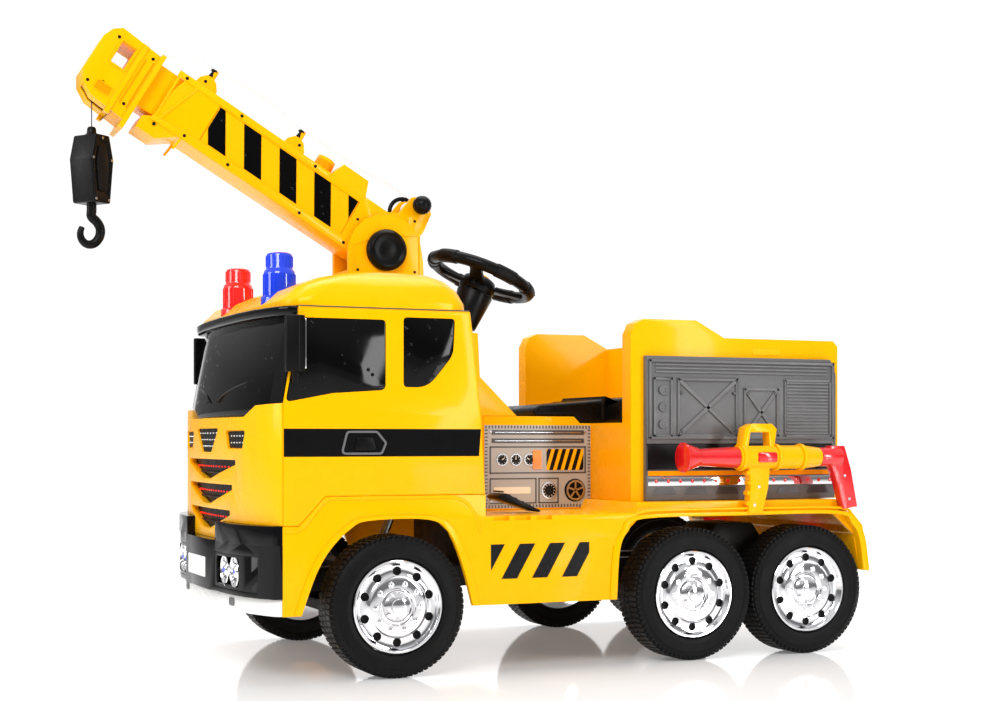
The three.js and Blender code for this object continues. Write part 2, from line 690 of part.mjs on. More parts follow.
function makeBlasterPump() {
  const plunger = rodX(8, 710, 812, BLASTER_Y, BLASTER_Z, 12);
  const collar = rodX(17, 801, 846, BLASTER_Y, BLASTER_Z, 16);
  const grip = slabY([[822, 372], [852, 372], [866, 330], [880, 262], [850, 258], [838, 300], [822, 340]],
    BLASTER_Y - 9, BLASTER_Y + 9);
  return join(plunger, collar, grip);
}

piece('blaster_pump', makeBlasterPump(), RED, truck);

// ---------------------------------------------------------------- crane turret

function makeTurret() {
  const cheek = [[0, 661], [0, 726], [12, 752], [31, 770], [52, 778], [78, 779], [104, 771], [122, 756],
    [132, 736], [138, 700], [140, 661]];
  const bore = [{ x: TURRET_X, y: PIVOT_Z, r: 12.4 }];
  return join(
    slabY(cheek, -48, -37, bore),
    slabY(cheek, 37, 48, bore),
    rodZ(70, 660 + GAP, 668, TURRET_X, 0, 32),
    box(0, 10, -38, 38, 661, 680),
  );
}

piece('turret', makeTurret(), YELLOW, truck);

// ---------------------------------------------------------------- boom, in its own tilted group

const boom = new THREE.Group();
boom.position.set(TURRET_X, 0, PIVOT_Z);
boom.rotation.y = BOOM_ANGLE;
truck.add(boom);

// Points along the boom are [u, v]: u towards the tip and v upwards, both from the pivot.
const alongBoom = (points) => points.map(([u, v]) => [-u, v]);
const boomSlab = (points, y0, y1) => slabY(alongBoom(points), y0, y1);
const boomBox = (u0, u1, y0, y1, v0, v1) => box(-u1, -u0, y0, y1, v0, v1);

function makePivotPin() {
  const cap = (side) => new THREE.LatheGeometry([
    new THREE.Vector2(0, 0), new THREE.Vector2(37, 0), new THREE.Vector2(37, 4), new THREE.Vector2(31, 10),
    new THREE.Vector2(16, 14), new THREE.Vector2(0, 15),
  ], 24).rotateX(side > 0 ? 0 : Math.PI).translate(0, side * (48 + GAP), 0);
  return join(rodY(12, -49, 49), cap(-1), cap(1));
}

piece('pivot_pin', makePivotPin(), BLACK, boom);

function arcPoints(cu, cv, radius, start, end, steps) {
  return Array.from({ length: steps + 1 }, (_, i) => {
    const angle = THREE.MathUtils.degToRad(start + (end - start) * i / steps);
    return [cu + radius * Math.cos(angle), cv + radius * Math.sin(angle)];
  });
}

function makeOuterBoom() {
  const outline = [[BOOM_FRONT, BOOM_BOTTOM], [448, 30], [438, BOOM_TOP], [148, BOOM_TOP], [138, 91], [86, 91],
    [76, BOOM_TOP], [28, BOOM_TOP], [10, 74], [4, 112], [-8, 121], [-26, 122], [-42, 106], [-46, 70],
    ...arcPoints(0, 0, 36, 180, 270, 6)];
  const lug = (u) => boomSlab([[u - 22, 60], [u - 20, 74], [u - 12, 86], [u - 2, 91], [u + 8, 90], [u + 17, 80],
    [u + 21, 60]], -14, 14);
  const peg = (u) => rodZ(5, 88, 108, -u + 3, 0, 12);
  const bracket = boomSlab([[434, -60], [470, -60], [470, -38], [BOOM_FRONT, -30], [395, -30]], -34, 34);
  const stub = rodZ(17, 60, 90, -162, 0, 20);
  return cut(
    join(boomSlab(outline, -BOOM_HALF, BOOM_HALF), bracket, stub, lug(405), lug(225), peg(405), peg(225)),
    boomBox(50, 470, -27.5, 27.5, -27.5, 55.5),
    boomBox(-60, 36, -27, 27, 40, 140),
    boomBox(...FILM_U, -60, -31.5, -18, 50),
    boomBox(...FILM_U, 31.5, 60, -18, 50),
    rodY(12.5, -60, 60),
    rodY(5.4, -60, 60, -WINCH[0], WINCH[1], 16),
  );
}

piece('outer_boom', makeOuterBoom(), YELLOW, boom);

function makeInnerBoom() {
  const head = boomSlab([[490, -64], [556, -59], [578, -46], [589, -28], [589, 38], [582, 56], [569, 67],
    [490, 62]], -38, 38);
  const collar = boomBox(486, 494, -44, 44, -78, 66);
  const rib = boomBox(518, 526, -41, 41, -70, 64);
  const window = boomSlab([[534, 8], [558, 8], [558, 48], [534, 48]], -60, 60);
  const [ru, rv] = LINE_ROLLER;
  return cut(
    join(boomBox(70, 492, -26.5, 26.5, -26.5, 54.5), head, collar, rib),
    boomBox(60, 478, -20, 20, -20, 48),
    window,
    boomBox(500, ru + 24, -31, 31, -90, rv + 24),
    rodY(3.3, -60, 60, -ru, rv, 12),
  );
}

piece('inner_boom', makeInnerBoom(), YELLOW, boom);

function makeLineGuide() {
  const [ru, rv] = LINE_ROLLER;
  const groove = LINE_RADIUS - 3.2;
  const roller = new THREE.LatheGeometry([
    new THREE.Vector2(0, -9), new THREE.Vector2(14, -9), new THREE.Vector2(14, -6),
    new THREE.Vector2(groove, -3), new THREE.Vector2(groove, 3), new THREE.Vector2(14, 6),
    new THREE.Vector2(14, 9), new THREE.Vector2(0, 9),
  ], 20);
  return join(roller, rodY(3, -37, 37, 0, 0, 12)).translate([-ru, 0, rv]);
}

piece('line_guide', makeLineGuide(), BLACK, boom);

function makeWinch() {
  const ring = new THREE.TorusGeometry(25, 4, 8, 24).rotateX(Math.PI / 2).translate(0, 46, 0);
  const arms = [0, 1, 2].map((turn) => box(0, 25, 44, 48, -2.5, 2.5).rotateY(turn * Math.PI * 2 / 3));
  const knob = new THREE.SphereGeometry(17, 16, 10).translate(0, -56, 0);
  const winch = join(rodY(5, -50, 48, 0, 0, 16), rodY(12, -25, 25, 0, 0, 16), ring, ...arms, knob);
  return winch.translate([-WINCH[0], 0, WINCH[1]]);
}

piece('winch', makeWinch(), BLACK, boom);

// ---------------------------------------------------------------- hoist line, hook block and hook

piece('hoist_line', rodZ(1.8, BLOCK_TOP_Z + 14 + GAP, LINE_TOP_Z + 27, LINE_X, 0, 8), LINE, truck);

function makeHookBlock() {
  const half = 25;
  const outline = [[-19, BLOCK_BOTTOM_Z], [19, BLOCK_BOTTOM_Z], [26.5, 848], [16.5, BLOCK_TOP_Z],
    [-16.5, BLOCK_TOP_Z], [-26.5, 848]];
  const neck = rodZ(8, BLOCK_TOP_Z - 1, BLOCK_TOP_Z + 14, 0, 0, 12);
  return toGeometry(join(slabY(outline, -half, half), neck)).rotateZ(BLOCK_TURN);
}

const hookBlock = piece('hook_block', makeHookBlock(), BLACK, truck);
hookBlock.position.x = LINE_X;

function makeHook() {
  const route = new THREE.CatmullRomCurve3([[0, 762], [1, 752], [9, 742], [12, 728], [8, 712], [-2, 705],
    [-12, 711], [-14, 724], [-15, 735]].map(([x, z]) => new THREE.Vector3(x, 0, z)));
  const section = new THREE.Shape();
  section.absarc(0, 0, HOOK_TUBE, 0, Math.PI * 2);
  const curl = new THREE.ExtrudeGeometry(section, { steps: 14, curveSegments: 4, extrudePath: route });
  return join(curl, rodZ(9, 757, BLOCK_BOTTOM_Z - GAP, 0, 0, 16));
}

const hook = piece('hook', makeHook(), BLACK, truck);
hook.position.x = LINE_X;

// ---------------------------------------------------------------- the whole truck, centred on its base

truck.updateMatrixWorld(true);
const bounds = new THREE.Box3().setFromObject(truck, true);
truck.position.x = -(bounds.min.x + bounds.max.x) / 2;

const model = new THREE.Group();
model.add(truck);

export default model;
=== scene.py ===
import json
import math

import bmesh
import bpy
from mathutils import Matrix, Vector

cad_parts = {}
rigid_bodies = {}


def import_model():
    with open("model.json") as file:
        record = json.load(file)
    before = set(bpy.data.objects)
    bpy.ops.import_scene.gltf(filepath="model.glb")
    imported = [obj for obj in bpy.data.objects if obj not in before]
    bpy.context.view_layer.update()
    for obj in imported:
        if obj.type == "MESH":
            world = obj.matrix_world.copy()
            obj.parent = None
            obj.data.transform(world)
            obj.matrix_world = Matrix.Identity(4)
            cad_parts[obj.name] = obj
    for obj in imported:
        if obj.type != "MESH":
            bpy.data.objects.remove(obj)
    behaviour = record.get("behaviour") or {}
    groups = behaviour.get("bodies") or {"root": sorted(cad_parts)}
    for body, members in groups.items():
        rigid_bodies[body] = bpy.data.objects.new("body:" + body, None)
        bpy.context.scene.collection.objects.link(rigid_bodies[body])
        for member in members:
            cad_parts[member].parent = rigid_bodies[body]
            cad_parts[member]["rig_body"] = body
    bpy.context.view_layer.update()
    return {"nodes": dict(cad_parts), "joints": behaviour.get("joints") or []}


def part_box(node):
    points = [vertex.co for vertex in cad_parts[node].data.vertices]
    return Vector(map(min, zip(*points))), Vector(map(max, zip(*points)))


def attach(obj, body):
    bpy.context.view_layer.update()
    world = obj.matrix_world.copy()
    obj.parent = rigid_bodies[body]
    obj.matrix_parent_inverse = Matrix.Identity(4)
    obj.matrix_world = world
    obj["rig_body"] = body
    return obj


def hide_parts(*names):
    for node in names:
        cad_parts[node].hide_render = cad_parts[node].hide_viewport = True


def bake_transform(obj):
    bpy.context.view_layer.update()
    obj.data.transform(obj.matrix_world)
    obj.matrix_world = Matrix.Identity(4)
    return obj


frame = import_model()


# ---------------------------------------------------------------- places, from the frame
# Shapes below are given in millimetres: x from the front axle (the nose is towards -x), y from the
# truck's centre plane (the left side is -y) and z from the ground. Boom pieces use u, y, v: u along
# the boom from its pivot towards the tip, and v square to it, upwards.

MM = 0.001


def middle(node):
    low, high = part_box(node)
    return (low + high) / 2


FRONT_AXLE = middle("tyre_front_left")
PIVOT = middle("pivot_pin")
WHEEL_Y = middle("tyre_front_right").y / MM
WHEEL_R = (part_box("tyre_front_left")[1].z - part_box("tyre_front_left")[0].z) / 2 / MM
MID_X = (middle("tyre_mid_left").x - FRONT_AXLE.x) / MM
REAR_X = (middle("tyre_rear_left").x - FRONT_AXLE.x) / MM
BOOM_U = Vector(next(j for j in frame["joints"] if j["name"] == "boom_extend")["axis"])
BOOM_V = Vector((BOOM_U.z, 0, -BOOM_U.x))
STEER = next(j for j in frame["joints"] if j["name"] == "steering_turn")
STEER_AT = Vector(STEER["pos_m"])
STEER_AXIS = Vector(STEER["axis"])
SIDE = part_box("lower_body")[1].y / MM
BOX_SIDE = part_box("rear_box")[1].y / MM
PANEL_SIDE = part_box("side_panel_right")[1].y / MM
PANEL_X = tuple((corner.x - FRONT_AXLE.x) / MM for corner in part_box("side_panel_left"))
SEAT_BOX_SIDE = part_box("seat_box")[1].y / MM
ROOF_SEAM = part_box("roof")[0].z / MM
BLASTER_Y = middle("blaster_barrel").y / MM
BLASTER_Z = middle("blaster_barrel").z / MM
TURRET_X = (PIVOT.x - FRONT_AXLE.x) / MM
PIVOT_Z = PIVOT.z / MM
LINE_X = (middle("hoist_line").x - FRONT_AXLE.x) / MM
HOOK_BODY = frame["nodes"]["hook"]["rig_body"]

# Sizes that the frame does not give.
BOOM_SIDE = 35
HEAD_SIDE = 38
TURRET_SIDE = 48
HAZARD_U = (82, 369)
WINCH_U, WINCH_V = -14, 104
BLOCK_TURN = math.radians(37)
STEER_R = 92.0
STRAND_R = 0.75
GUIDE_R = 0.7
SHARP = 35


def plain(x, y, z):
    return Vector((FRONT_AXLE.x + x * MM, y * MM, z * MM))


def along_boom(u, y, v):
    return PIVOT + BOOM_U * (u * MM) + BOOM_V * (v * MM) + Vector((0, y * MM, 0))


def on_column(x, y, z):
    """A place on the steering wheel: z along the column's axis, up, and x towards the driver."""
    side = Vector((STEER_AXIS.z, 0, -STEER_AXIS.x))
    return STEER_AT + side * (x * MM) + Vector((0, y * MM, 0)) + STEER_AXIS * (z * MM)


# ---------------------------------------------------------------- camera

LENS = 58.29
CAMERA_TURN = 23.45

camera_data = bpy.data.cameras.new("camera")
camera_data.lens = LENS
camera_data.sensor_width = 36
camera_data.shift_y = 0.0897
camera = bpy.data.objects.new("camera", camera_data)
camera.location = plain(-881.8, -2742.4, 382.0)
camera.rotation_euler = (math.radians(90), 0, math.radians(-CAMERA_TURN))
bpy.context.scene.collection.objects.link(camera)
bpy.context.scene.camera = camera

# ---------------------------------------------------------------- materials


def new_material(name):
    material = bpy.data.materials.new(name)
    material.use_nodes = True
    shader = material.node_tree.nodes["Principled BSDF"]
    return material, material.node_tree, shader


def noise(tree, scale, detail=3.0, stretch=(1, 1, 1)):
    """A noise texture in object space, in metres, stretched along the axes."""
    place = tree.nodes.new("ShaderNodeTexCoord")
    mapping = tree.nodes.new("ShaderNodeMapping")
    mapping.inputs["Scale"].default_value = stretch
    texture = tree.nodes.new("ShaderNodeTexNoise")
    texture.inputs["Scale"].default_value = scale
    texture.inputs["Detail"].default_value = detail
    tree.links.new(place.outputs["Object"], mapping.inputs["Vector"])
    tree.links.new(mapping.outputs["Vector"], texture.inputs["Vector"])
    return texture.outputs["Fac"]


def ramp(tree, source, low, high, start=0.3, end=0.7):
    """source, spread from low to high, which are colours or numbers."""
    node = tree.nodes.new("ShaderNodeValToRGB")
    points = node.color_ramp.elements
    points[0].position, points[1].position = start, end
    for point, value in zip(points, (low, high)):
        point.color = (value, value, value, 1) if isinstance(value, float) else (*value, 1)
    tree.links.new(source, node.inputs["Fac"])
    return node.outputs["Color"]


def bump(tree, shader, source, strength, distance=0.001):
    node = tree.nodes.new("ShaderNodeBump")
    node.inputs["Strength"].default_value = strength
    node.inputs["Distance"].default_value = distance
    tree.links.new(source, node.inputs["Height"])
    tree.links.new(node.outputs["Normal"], shader.inputs["Normal"])


def edge_highlight(tree, colour, edge_light, amount):
    """colour, a little lighter where the surface is strongly convex: a painted highlight on the edges."""
    geometry = tree.nodes.new("ShaderNodeNewGeometry")
    mix = tree.nodes.new("ShaderNodeMix")
    mix.data_type = "RGBA"
    # Painted highlight: strongly convex edges are drawn paler.
    edge = ramp(tree, geometry.outputs["Pointiness"], 0.0, amount, 0.51, 0.62)
    tree.links.new(edge, mix.inputs["Factor"])
    tree.links.new(colour, mix.inputs["A"])
    mix.inputs["B"].default_value = (*edge_light, 1)
    return mix.outputs["Result"]


def plastic(name, colour, rough, grain=900.0, strength=0.05, coat=0.0, tone=0.06, edge_light=0.1, shine=0.5,
            tint=(1, 1, 1)):
    """Moulded plastic: slight tone variation, fine surface grain, uneven gloss and paler edges, which are a
    painted highlight.
    """
    material, tree, shader = new_material(name)
    dark = tuple(c * (1 - tone) for c in colour)
    base = ramp(tree, noise(tree, 9.0), dark, colour)
    # The paler colour for the painted edge highlight.
    pale = tuple(min(1.0, c * 1.1 + 0.02) for c in colour)
    tree.links.new(edge_highlight(tree, base, pale, edge_light), shader.inputs["Base Color"])
    gloss = ramp(tree, noise(tree, 35.0, 4.0), max(0.02, rough * 0.8), min(1.0, rough * 1.2))
    tree.links.new(gloss, shader.inputs["Roughness"])
    bump(tree, shader, noise(tree, grain, 2.0), strength)
    shader.inputs["Specular IOR Level"].default_value = shine
    shader.inputs["Specular Tint"].default_value = (*tint, 1)
    shader.inputs["Coat Weight"].default_value = coat
    shader.inputs["Coat Roughness"].default_value = 0.08
    return material


def chrome(name, colour, rough):
    material, tree, shader = new_material(name)
    shader.inputs["Metallic"].default_value = 1.0
    base = ramp(tree, noise(tree, 20.0), tuple(c * 0.93 for c in colour), colour)
    tree.links.new(base, shader.inputs["Base Color"])
    tree.links.new(ramp(tree, noise(tree, 60.0), rough * 0.6, rough * 1.5), shader.inputs["Roughness"])
    bump(tree, shader, noise(tree, 45.0, 1.0), 0.08)
    return material


def lens(name, colour, rough, glow=0.0):
    material, tree, shader = new_material(name)
    base = ramp(tree, noise(tree, 30.0), tuple(c * 0.8 for c in colour), colour)
    tree.links.new(base, shader.inputs["Base Color"])
    tree.links.new(ramp(tree, noise(tree, 80.0), rough * 0.7, rough * 1.3), shader.inputs["Roughness"])
    shader.inputs["Coat Weight"].default_value = 0.6
    shader.inputs["Coat Roughness"].default_value = 0.03
    shader.inputs["Subsurface Weight"].default_value = 0.25
    shader.inputs["Subsurface Radius"].default_value = (0.01, 0.01, 0.01)
    shader.inputs["Emission Color"].default_value = (*colour, 1)
    shader.inputs["Emission Strength"].default_value = glow
    bump(tree, shader, noise(tree, 300.0), 0.04)
    return material


def film(name):
    """Glossy black film with small trapped bubbles."""
    material, tree, shader = new_material(name)
    base = ramp(tree, noise(tree, 6.0), (0.001, 0.001, 0.0012), (0.002, 0.002, 0.0022))
    shader.inputs["Specular IOR Level"].default_value = 0.15
    tree.links.new(base, shader.inputs["Base Color"])
    tree.links.new(ramp(tree, noise(tree, 25.0), 0.03, 0.09), shader.inputs["Roughness"])
    place = tree.nodes.new("ShaderNodeTexCoord")
    cells = tree.nodes.new("ShaderNodeTexVoronoi")
    cells.inputs["Scale"].default_value = 55.0
    tree.links.new(place.outputs["Object"], cells.inputs["Vector"])
    bubbles = ramp(tree, cells.outputs["Distance"], 1.0, 0.0, 0.02, 0.16)
    bump(tree, shader, bubbles, 0.5, 0.002)
    return material


YELLOW = plastic("yellow_plastic", (1.0, 0.46, 0.0), 0.27, 700.0, 0.03, coat=0.12, tone=0.03, shine=0.3,
                 tint=(1.0, 0.6, 0.05))
# orange_plastic also serves as painted shade in the boom head's small window and grooves.
ORANGE = plastic("orange_plastic", (1.0, 0.3, 0.0), 0.3, 700.0, 0.03, shine=0.3, tint=(1.0, 0.5, 0.05))
BLACK = plastic("black_plastic", (0.003, 0.003, 0.0032), 0.3, 1200.0, 0.1, edge_light=0.12, shine=0.12)
SATIN = plastic("satin_black", (0.004, 0.004, 0.0042), 0.42, 1500.0, 0.2, edge_light=0.15, shine=0.12)
GLOSS = plastic("black_gloss", (0.003, 0.003, 0.0035), 0.09, 500.0, 0.01, edge_light=0.08, shine=0.18)
GREY = plastic("grey_plastic", (0.11, 0.11, 0.112), 0.4, 1100.0, 0.15, edge_light=0.5)
DARK_GREY = plastic("dark_grey_plastic", (0.045, 0.045, 0.048), 0.4, 1100.0, 0.12, edge_light=0.4)
WHITE = plastic("white_plastic", (0.86, 0.86, 0.85), 0.25, 700.0, 0.02, edge_light=0.0)
CREAM = plastic("cream_label", (0.85, 0.8, 0.62), 0.4, 500.0, 0.02)
RED = plastic("red_plastic", (0.72, 0.008, 0.012), 0.16, 700.0, 0.02, coat=0.5)
AMBER = lens("amber_lens", (1.0, 0.32, 0.02), 0.15)
RED_LENS = lens("red_lens", (0.75, 0.012, 0.01), 0.1, 0.25)
RED_LAMP = lens("red_lamp", (0.9, 0.01, 0.01), 0.2, 2.0)
BLUE_LENS = lens("blue_lens", (0.004, 0.035, 0.6), 0.1, 0.35)
BLUE_GLOW = lens("blue_glow", (0.1, 0.12, 0.95), 0.1, 0.5)
PALE_LAMP = lens("pale_lamp", (0.75, 0.75, 0.72), 0.15, 0.3)
CHROME = chrome("chromed_plastic", (0.9, 0.9, 0.92), 0.045)
STEEL = chrome("plain_steel", (0.45, 0.46, 0.48), 0.3)
TYRE = plastic("tyre_plastic", (0.0035, 0.0035, 0.0037), 0.42, 1600.0, 0.2, edge_light=0.15, shine=0.12)
FILM = film("window_film")
CORD = plastic("line_cord", (0.03, 0.03, 0.032), 0.6, 3000.0, 0.4)
PRINT_GREY = plastic("print_grey_plastic", (0.42, 0.41, 0.38), 0.35, 700.0, 0.03)
NYLON = plastic("nylon_line", (0.75, 0.75, 0.76), 0.3, 3000.0, 0.1)

# ---------------------------------------------------------------- shapes, as (points, faces)


def placed(axis, a, b, along, centre=(0, 0, 0)):
    """Two coordinates square to the axis and one along it, as a point."""
    point = {"y": (a, along, b), "z": (a, b, along), "x": (along, a, b)}[axis]
    return tuple(p + c for p, c in zip(point, centre))


def slab(outline, low, high, axis="y"):
    """An outline of two coordinates, extruded along the third."""
    count = len(outline)
    points = [placed(axis, a, b, level) for level in (low, high) for a, b in outline]
    faces = [list(range(count))[::-1], list(range(count, 2 * count))]
    faces += [[i, (i + 1) % count, count + (i + 1) % count, count + i] for i in range(count)]
    return points, faces


def block(x0, x1, y0, y1, z0, z1):
    return slab([(x0, z0), (x1, z0), (x1, z1), (x0, z1)], y0, y1)


def loft(loops, capped=True):
    count = len(loops[0])
    points = [p for loop in loops for p in loop]
    faces = []
    for level in range(len(loops) - 1):
        low, high = level * count, (level + 1) * count
        faces += [[low + i, low + (i + 1) % count, high + (i + 1) % count, high + i] for i in range(count)]
    if capped:
        last = (len(loops) - 1) * count
        faces += [list(range(count))[::-1], list(range(last, last + count))]
    return points, faces


def steps_round(count):
    return [2 * math.pi * i / count for i in range(count)]


def turned(profile, centre=(0, 0, 0), axis="y", sides=48):
    """A profile of (radius, place along the axis), turned about the axis, with both ends closed."""
    return loft([[placed(axis, radius * math.cos(a), radius * math.sin(a), along, centre)
                  for a in steps_round(sides)] for radius, along in profile])


def rod(radius, low, high, centre=(0, 0, 0), axis="y", sides=32, edge=0.0):
    edge = min(edge, radius * 0.9)
    profile = [(radius - edge, low), (radius, low + edge), (radius, high - edge), (radius - edge, high)]
    return turned(profile, centre, axis, sides)


def hoop(profile, centre=(0, 0, 0), axis="y", sides=96):
    """A closed profile of (radius, place along the axis), turned into a ring."""
    points, faces = [], []
    count = len(profile)
    for i, angle in enumerate(steps_round(sides)):
        points += [placed(axis, radius * math.cos(angle), radius * math.sin(angle), along, centre)
                   for radius, along in profile]
        after = (i + 1) % sides
        for j in range(count):
            k = (j + 1) % count
            faces.append([i * count + j, after * count + j, after * count + k, i * count + k])
    return points, faces


def ring(major, minor, centre=(0, 0, 0), axis="y", sides=64, tube=16):
    profile = [(major + minor * math.cos(a), minor * math.sin(a)) for a in steps_round(tube)]
    return hoop(profile, centre, axis, sides)


def sweep(path, radius, sides=12):
    """A round tube along a list of points, with its ends closed. radius may be a list."""
    points = [Vector(p) for p in path]
    radii = radius if isinstance(radius, list) else [radius] * len(points)
    loops = []
    for i, p in enumerate(points):
        ahead = (points[min(i + 1, len(points) - 1)] - points[max(i - 1, 0)]).normalized()
        across = Vector((0, 1, 0)) if abs(ahead.y) < 0.9 else Vector((1, 0, 0))
        up = ahead.cross(across).normalized()
        across = up.cross(ahead)
        loops.append([tuple(p + (across * math.cos(a) + up * math.sin(a)) * radii[i])
                      for a in (2 * math.pi * k / sides for k in range(sides))])
    return loft(loops)


def moved(shape, x=0.0, y=0.0, z=0.0):
    return [(p[0] + x, p[1] + y, p[2] + z) for p in shape[0]], shape[1]


def rolled(shape, angle, axis="Y", centre=(0, 0, 0)):
    turn = Matrix.Rotation(angle, 3, axis)
    at = Vector(centre)
    return [tuple(turn @ (Vector(p) - at) + at) for p in shape[0]], shape[1]


def flipped(shape):
    """The mirror image, from one side of the truck to the other."""
    return [(p[0], -p[1], p[2]) for p in shape[0]], [face[::-1] for face in shape[1]]


def together(*shapes):
    points, faces = [], []
    for shape in shapes:
        start = len(points)
        points += shape[0]
        faces += [[i + start for i in face] for face in shape[1]]
    return points, faces


def rounded(outline, radius, steps=5):
    """The outline with its corners rounded. A point may give its own radius as a third number."""
    result = []
    count = len(outline)
    for i, point in enumerate(outline):
        corner = Vector(point[:2])
        size = point[2] if len(point) > 2 else radius
        before = Vector(outline[i - 1][:2]) - corner
        after = Vector(outline[(i + 1) % count][:2]) - corner
        turn = before.angle(after, math.pi)
        if size <= 0 or turn > math.radians(177):
            result.append(tuple(corner))
            continue
        reach = min(size / math.tan(turn / 2), before.length * 0.49, after.length * 0.49)
        start, end = corner + before.normalized() * reach, corner + after.normalized() * reach
        for k in range(steps + 1):
            t = k / steps
            result.append(tuple(start * (1 - t) ** 2 + corner * (2 * t * (1 - t)) + end * t * t))
    return result


def smooth_line(points, steps=4):
    """A curve through all the points."""
    line = []
    last = len(points) - 1
    for i in range(last):
        p = [Vector(points[min(max(k, 0), last)]) for k in (i - 1, i, i + 1, i + 2)]
        for k in range(steps):
            t = k / steps
            line.append(tuple(0.5 * ((2 * p[1]) + (p[2] - p[0]) * t
                                     + (2 * p[0] - 5 * p[1] + 4 * p[2] - p[3]) * t * t
                                     + (3 * p[1] - p[0] - 3 * p[2] + p[3]) * t ** 3)))
    line.append(tuple(points[-1]))
    return line


# ---------------------------------------------------------------- making pieces


def raw(name, shape, space=plain):
    mesh = bpy.data.meshes.new(name)
    mesh.from_pydata([space(*p) for p in shape[0]], [], shape[1])
    tidy = bmesh.new()
    tidy.from_mesh(mesh)
    bmesh.ops.remove_doubles(tidy, verts=tidy.verts, dist=1e-6)
    bmesh.ops.dissolve_degenerate(tidy, edges=tidy.edges, dist=1e-6)
    bmesh.ops.recalc_face_normals(tidy, faces=tidy.faces)
    tidy.to_mesh(mesh)
    tidy.free()
    piece = bpy.data.objects.new(name, mesh)
    bpy.context.scene.collection.objects.link(piece)
    return piece


def settle(piece):
    """Applies the piece's modifiers."""
    view = bpy.context.evaluated_depsgraph_get()
    mesh = bpy.data.meshes.new_from_object(piece.evaluated_get(view))
    piece.modifiers.clear()
    old = piece.data
    piece.data = mesh
    bpy.data.meshes.remove(old)


def round_edges(piece, width, segments):
    modifier = piece.modifiers.new("rounding", "BEVEL")
    modifier.width = width * MM
    modifier.segments = segments
    modifier.limit_method = "ANGLE"
    modifier.angle_limit = math.radians(SHARP)
    modifier.use_clamp_overlap = True
    settle(piece)


def carve(piece, cutters, space):
    """Cuts the shapes out of the piece."""
    for i, shape in enumerate(cutters):
        cutter = raw(f"cutter_{i}", shape, space)
        modifier = piece.modifiers.new("cut", "BOOLEAN")
        modifier.operation = "DIFFERENCE"
        modifier.solver = "EXACT"
        modifier.object = cutter
        settle(piece)
        bpy.data.objects.remove(cutter)


def dress(piece, material, body, smooth, replaces):
    """Gives the piece its material, its shading and its place in the table."""
    piece.data.materials.clear()
    piece.data.materials.append(material)
    piece.data.shade_smooth()
    piece.data.set_sharp_from_angle(angle=math.radians(smooth))
    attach(piece, body)
    if replaces:
        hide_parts(*replaces)
    return piece


def add(name, shape, material, body="truck", space=plain, edge=0.0, segments=3, cutters=(), soften=0.0,
        smooth=SHARP, replaces=()):
    """One finished piece of the truck."""
    piece = raw(name, shape, space)
    if edge:
        round_edges(piece, edge, segments)
    if cutters:
        carve(piece, cutters, space)
    if soften:
        round_edges(piece, soften, 2)
    return dress(piece, material, body, smooth, replaces)


def both_sides(name, shape, material, **settings):
    """The piece on the left, as given, and its mirror image on the right."""
    add(f"{name}_left", shape, material, **settings)
    add(f"{name}_right", flipped(shape), material, **settings)


def refined(node, material, edge=0.0, segments=3, cutters=(), smooth=SHARP):
    """A finer piece in a plain solid's place: cleared of needless edges, rounded, and cut by cutters."""
    source = frame["nodes"][node]
    mesh = bpy.data.meshes.new(node + "_shell")
    mesh.from_pydata([v.co[:] for v in source.data.vertices], [],
                     [p.vertices[:] for p in source.data.polygons])
    tidy = bmesh.new()
    tidy.from_mesh(mesh)
    bmesh.ops.remove_doubles(tidy, verts=tidy.verts, dist=2e-6)
    bmesh.ops.dissolve_limit(tidy, angle_limit=math.radians(0.8), verts=tidy.verts, edges=tidy.edges)
    tidy.to_mesh(mesh)
    tidy.free()
    piece = bpy.data.objects.new(node + "_shell", mesh)
    bpy.context.scene.collection.objects.link(piece)
    if edge:
        round_edges(piece, edge, segments)
    if cutters:
        carve(piece, cutters, plain)
    return dress(piece, material, source["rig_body"], smooth, (node,))


def clipped(outline, low, high):
    """The part of a convex outline whose first coordinate is between low and high."""
    for sign, limit in ((1, low), (-1, -high)):
        kept = []
        for i, point in enumerate(outline):
            before = outline[i - 1]
            inside, was = sign * point[0] >= limit, sign * before[0] >= limit
            if inside != was:
                t = (sign * limit - before[0]) / (point[0] - before[0])
                kept.append((sign * limit, before[1] + t * (point[1] - before[1])))
            if inside:
                kept.append(point)
        outline = kept
    return outline


def band(outline, width, low, high, axis="y"):
    """A closed strip of the given width, just inside the outline, as one closed ring."""
    count = len(outline)
    centre = Vector((sum(p[0] for p in outline) / count, sum(p[1] for p in outline) / count))
    inner = []
    for i, point in enumerate(outline):
        here = Vector(point)
        a = (here - Vector(outline[i - 1])).normalized()
        b = (Vector(outline[(i + 1) % count]) - here).normalized()
        na, nb = Vector((-a.y, a.x)), Vector((-b.y, b.x))
        if na.dot(centre - here) < 0 and nb.dot(centre - here) < 0:
            na, nb = -na, -nb
        inward = (na + nb).normalized()
        inner.append(tuple(here + inward * width / max(0.3, inward.dot(na))))
    loops = [[placed(axis, *p, level) for p in line]
             for line, level in ((outline, low), (outline, high), (inner, high), (inner, low))]
    points, faces = loft(loops, capped=False)
    last = 3 * count
    faces += [[last + i, last + (i + 1) % count, (i + 1) % count, i] for i in range(count)]
    return points, faces


def ribs(x0, x1, z0, z1, count, y0, y1):
    """Evenly spaced thin level ribs in a rectangle."""
    step = (z1 - z0) / count
    heights = [z0 + step * (k + 0.5) for k in range(count)]
    return together(*[block(x0, x1, y0, y1, z - 1.7, z + 1.7) for z in heights])


def bar(x0, z0, x1, z1, width, y0, y1):
    """A straight raised bar from one place on the panel to another."""
    a, b = Vector((x0, z0)), Vector((x1, z1))
    n = Vector((a.y - b.y, b.x - a.x)).normalized() * width / 2
    return slab([tuple(a + n), tuple(b + n), tuple(b - n), tuple(a - n)], y0, y1)


